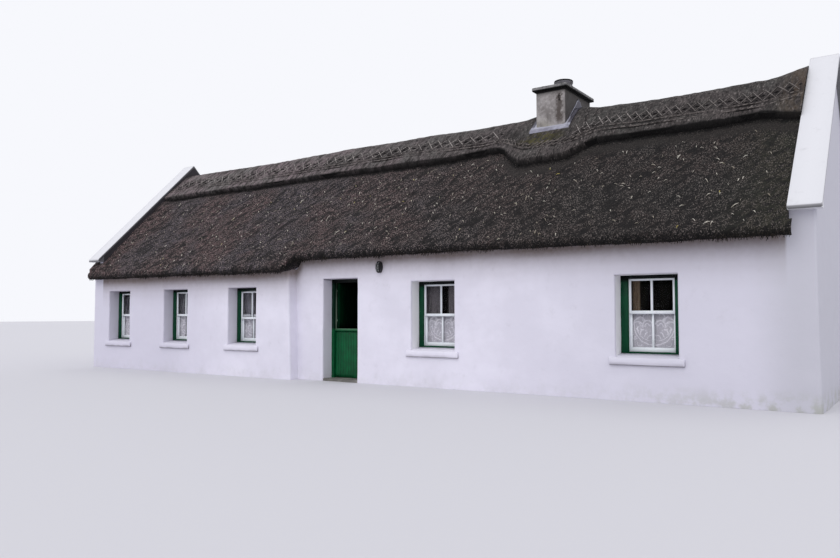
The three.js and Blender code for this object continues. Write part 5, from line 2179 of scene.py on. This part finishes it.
@dataclass
class Straw:
    """Loose straws: pale ones on the slopes, reed ends at the eaves and at the ridge's edge."""

    pale: Material
    dark: Material
    black: Material

    def build(self) -> None:
        """Makes all three kinds."""
        chance = np.random.default_rng(83)
        flecks, ends, skirt = Skin(), Skin(), Skin()
        for side in (-1, 1):
            flecks.add(*self._flecks(chance, side, 430))
            ends.add(*self._eaves(chance, side))
            skirt.add(*self._skirt(chance, side))
        Piece("straw_flecks", self.pale, "thatch", smooth=False).build(flecks)
        Piece("eave_reeds", self.dark, "thatch", smooth=False).build(ends)
        # The reeds under the ridge's cut edge are near black as painted shade.
        Piece("ridge_reeds", self.black, "ridge_thatch", smooth=False).build(skirt)

    @staticmethod
    def _flecks(chance: np.random.Generator, side: int, count: int) -> Faces:
        """Scatters short straws over a slope.

        Args:
            chance: Source of their unevenness.
            side: -1 for the front and 1 for the back.
            count: Number of straws.

        Returns:
            Their points and quads.
        """
        x = chance.uniform(-7.75, 7.75, count)
        low = along(APRON_LINE, x) + 0.1
        d = low + (Roof.eave_reach(x) - low) * chance.uniform(0, 1, count)
        size = chance.uniform(0.03, 0.08, count) * np.where(chance.uniform(0, 1, count) > 0.93, 1.8, 1.0)
        turn = chance.normal(0.5, 0.7, count)
        share = np.linspace(-1, 1, 3)
        px = x[:, None] + share * (size * np.sin(turn))[:, None] / 2
        pd = d[:, None] + share * (size * np.cos(turn))[:, None] / 2 * 0.7
        z = Roof.thatch_top(px, pd) + 0.034 + 0.012 * (1 - share**2)
        return rods(np.stack([px, side * pd, z], 2), chance.uniform(0.0025, 0.0075, count), (0.7, 1.0, 0.5))

    @staticmethod
    def _eaves(chance: np.random.Generator, side: int) -> Faces:
        """Hangs reed ends from the eaves.

        Args:
            chance: Source of their unevenness.
            side: -1 for the front and 1 for the back.

        Returns:
            Their points and quads.
        """
        x = np.arange(EAVE_CORNER + 0.01, RUN_ON - 0.01, 0.009)
        x = np.concatenate([x, x + 0.004])
        x = x + chance.uniform(-0.004, 0.004, len(x))
        reach = Roof.eave_reach(x)
        top = Roof.thatch_top(x, reach)
        share = np.linspace(0, 1, 3)
        start = chance.uniform(0.0, 1.0, len(x))
        out = 0.022 - 0.05 * start
        spot = np.stack([x, x * 0, x * 0], 1)
        long = chance.uniform(0.02, 0.055, len(x)) + 0.02 * SmoothNoise(85, (0.2, 1, 1)).at(spot)
        lean = chance.normal(0, 0.25, len(x))
        px = x[:, None] + share * (lean * long)[:, None]
        pd = (reach + out)[:, None] + share * (0.3 * long)[:, None]
        z = (top - 0.06 - 0.075 * start)[:, None] - share * (0.9 * long)[:, None]
        return rods(np.stack([px, side * pd, z], 2), chance.uniform(0.0025, 0.005, len(x)), (1.0, 0.9, 0.6))

    @staticmethod
    def _skirt(chance: np.random.Generator, side: int) -> Faces:
        """Lays reed ends out from under the ridge's cut edge.

        Args:
            chance: Source of their unevenness.
            side: -1 for the front and 1 for the back.

        Returns:
            Their points and quads.
        """
        x = np.arange(-UPSTAND + 0.02, UPSTAND - 0.02, 0.011)
        x = x + chance.uniform(-0.005, 0.005, len(x))
        edge = along(APRON_LINE, x)
        share = np.linspace(0, 1, 3)
        long = chance.uniform(0.015, 0.05, len(x))
        deep = chance.uniform(-0.02, 0.1, len(x))
        pd = (edge - 0.02 - 0.3 * deep)[:, None] + share * long[:, None]
        px = x[:, None] + share * (chance.normal(0, 0.2, len(x)) * long)[:, None]
        z = (Roof.ridge_top(x, edge) - 0.012 - deep)[:, None] - share * long[:, None] * 0.9
        return rods(np.stack([px, side * pd, z], 2), chance.uniform(0.0025, 0.0045, len(x)), (1.0, 0.9, 0.6))


def dress(names: Sequence[str], material: Material) -> None:
    """Gives CAD nodes a material."""
    for name in names:
        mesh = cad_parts[name].data
        mesh.materials.clear()
        mesh.materials.append(material)


class Palette:
    """All the finishes, built once."""

    def __init__(self) -> None:
        """Builds them."""
        self.limewash = Finish("limewash", paint_limewash, depth=0.005).build()
        self.thatch = Finish("thatch", paint_thatch, bump=0.9, depth=0.02).build()
        self.ridge = Finish("ridge_thatch", paint_ridge, bump=0.9, depth=0.015).build()
        self.coping = Finish("coping_white", paint_coping, depth=0.003).build()
        self.cement = Finish("chimney_cement", paint_cement, depth=0.006).build()
        self.cap = Finish("cap_cement", CAP_SHADED_BELOW, depth=0.008).build()
        self.pot = Finish("pot_clay", SOOTY_POT, depth=0.005).build()
        self.lead = Finish("lead", paint_lead, depth=0.004, metallic=0.4).build()
        self.masonry = Finish("masonry", paint_masonry, depth=0.005).build()
        self.green = self.gloss("green_paint", paint_green, 0.2)
        self.frame = self.gloss("frame_green", paint_frame_green, 0.15)
        self.door_frame = self.gloss("door_frame_green", paint_door_frame, 0.15)
        self.leaf = self.gloss("upper_leaf_green", paint_upper_leaf, 0.05)
        self.white = self.gloss("white_paint", paint_white, 0.5)
        self.floor = Finish("floor_cement", paint_floor_cement, depth=0.003).build()
        self.glass = build_glass()
        self.rod = Finish("ridge_rods", BLEACHED_RODS, depth=0.003).build()
        self.ligger = Finish("long_rods", LONG_RODS).build()
        self.shadow_black = Finish("ridge_painted_shadows", PAINTED_SHADOW_BLACK).build()
        self.straw = Finish("pale_straw", PALE_STRAW).build()
        self.reeds = Finish("reed_ends", REED_ENDS).build()
        self.metal = Finish("lamp_metal", paint_dark_metal, depth=0.001, specular=0.5).build()
        self.frosted = Finish("lamp_frosted", FROSTED_GLASS, depth=0.002, specular=0.5).build()
        self.lace = build_cloth("lace", rgb(252, 252, 255), rgb(214, 213, 219), 0.08, True)
        self.net = build_cloth("net", rgb(158, 154, 156), rgb(122, 118, 120), 0.2)
        self.veil = build_cloth("veil", rgb(196, 196, 202), rgb(158, 158, 166), 0.2)
        self.drape = build_cloth("drape", rgb(150, 132, 108), rgb(116, 100, 82), 0.0)

    @staticmethod
    def gloss(name: str, paint: Callable[[Tree], Look], specular: float) -> Material:
        """Returns paint on joinery, with faint brush marks."""
        return Finish(name, paint, bump=0.3, depth=0.001, specular=specular).build()


def door_hole() -> Hole:
    """Returns the doorway's opening."""
    return Hole(FRONT_RIGHT_START - 0.633, FRONT_RIGHT_START + 0.264, -0.01, 2.03, 0.252)


def main() -> None:
    """Builds everything in order."""
    logging.basicConfig(level=logging.INFO, format="%(name)s: %(message)s")
    paints = Palette()
    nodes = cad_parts
    for names, material in (
        ([n for n in nodes if "wall" in n], paints.masonry),
        ([n for n in nodes if n.startswith("coping")], paints.coping),
        (["thatch_front", "thatch_back"], paints.thatch),
        # The ridge block shows only at the cut edge, painted near black as painted shade.
        (["ridge_block"], paints.shadow_black),
        (["chimney_breast", "chimney_stack"], paints.cement),
        (["chimney_cap"], paints.cap),
        (["chimney_pot"], paints.pot),
        (["chimney_flashing"], paints.lead),
        (["lower_door"], paints.green),
        (["door_frame"], paints.door_frame),
        (["upper_door"], paints.leaf),
        (["lamp_plate"], paints.metal),
        (["lamp_glass"], paints.frosted),
        (["floor_slab", "door_threshold"], paints.floor),
    ):
        dress(names, material)
    ThatchCoat(-1, paints.thatch).build()
    ThatchCoat(1, paints.thatch).build()
    RidgeCoat(paints.ridge).build()
    WallCoat(WallPart.FRONT, [*(w.hole() for w in WINDOWS), door_hole()], paints.limewash).build()
    WallCoat(WallPart.BACK, [w.hole() for w in BACK_WINDOWS], paints.limewash, 0.05).build()
    WallCoat(WallPart.LEFT_GABLE, [], paints.limewash, 0.06).build()
    WallCoat(WallPart.RIGHT_GABLE, [], paints.limewash, 0.05).build()
    Copings(paints.coping).build()
    Sills(paints.limewash).build([*WINDOWS, *BACK_WINDOWS])
    for window in [*WINDOWS, *BACK_WINDOWS]:
        window.build(paints.frame, paints.white, paints.glass)
        if window.side < 0:
            hang_curtains(window, paints)
        else:
            draw_curtains(window, paints)
    Door(paints.green, paints.leaf, paints.metal).build()
    Lamp(paints.metal).build()
    Chimney(paints.cement, paints.cap, paints.pot, paints.lead).build()
    RidgeWork(paints.rod, paints.ligger, paints.shadow_black).build()
    Straw(paints.straw, paints.reeds, paints.shadow_black).build()
    Studio().build()


if __name__ == "__main__":
    main()
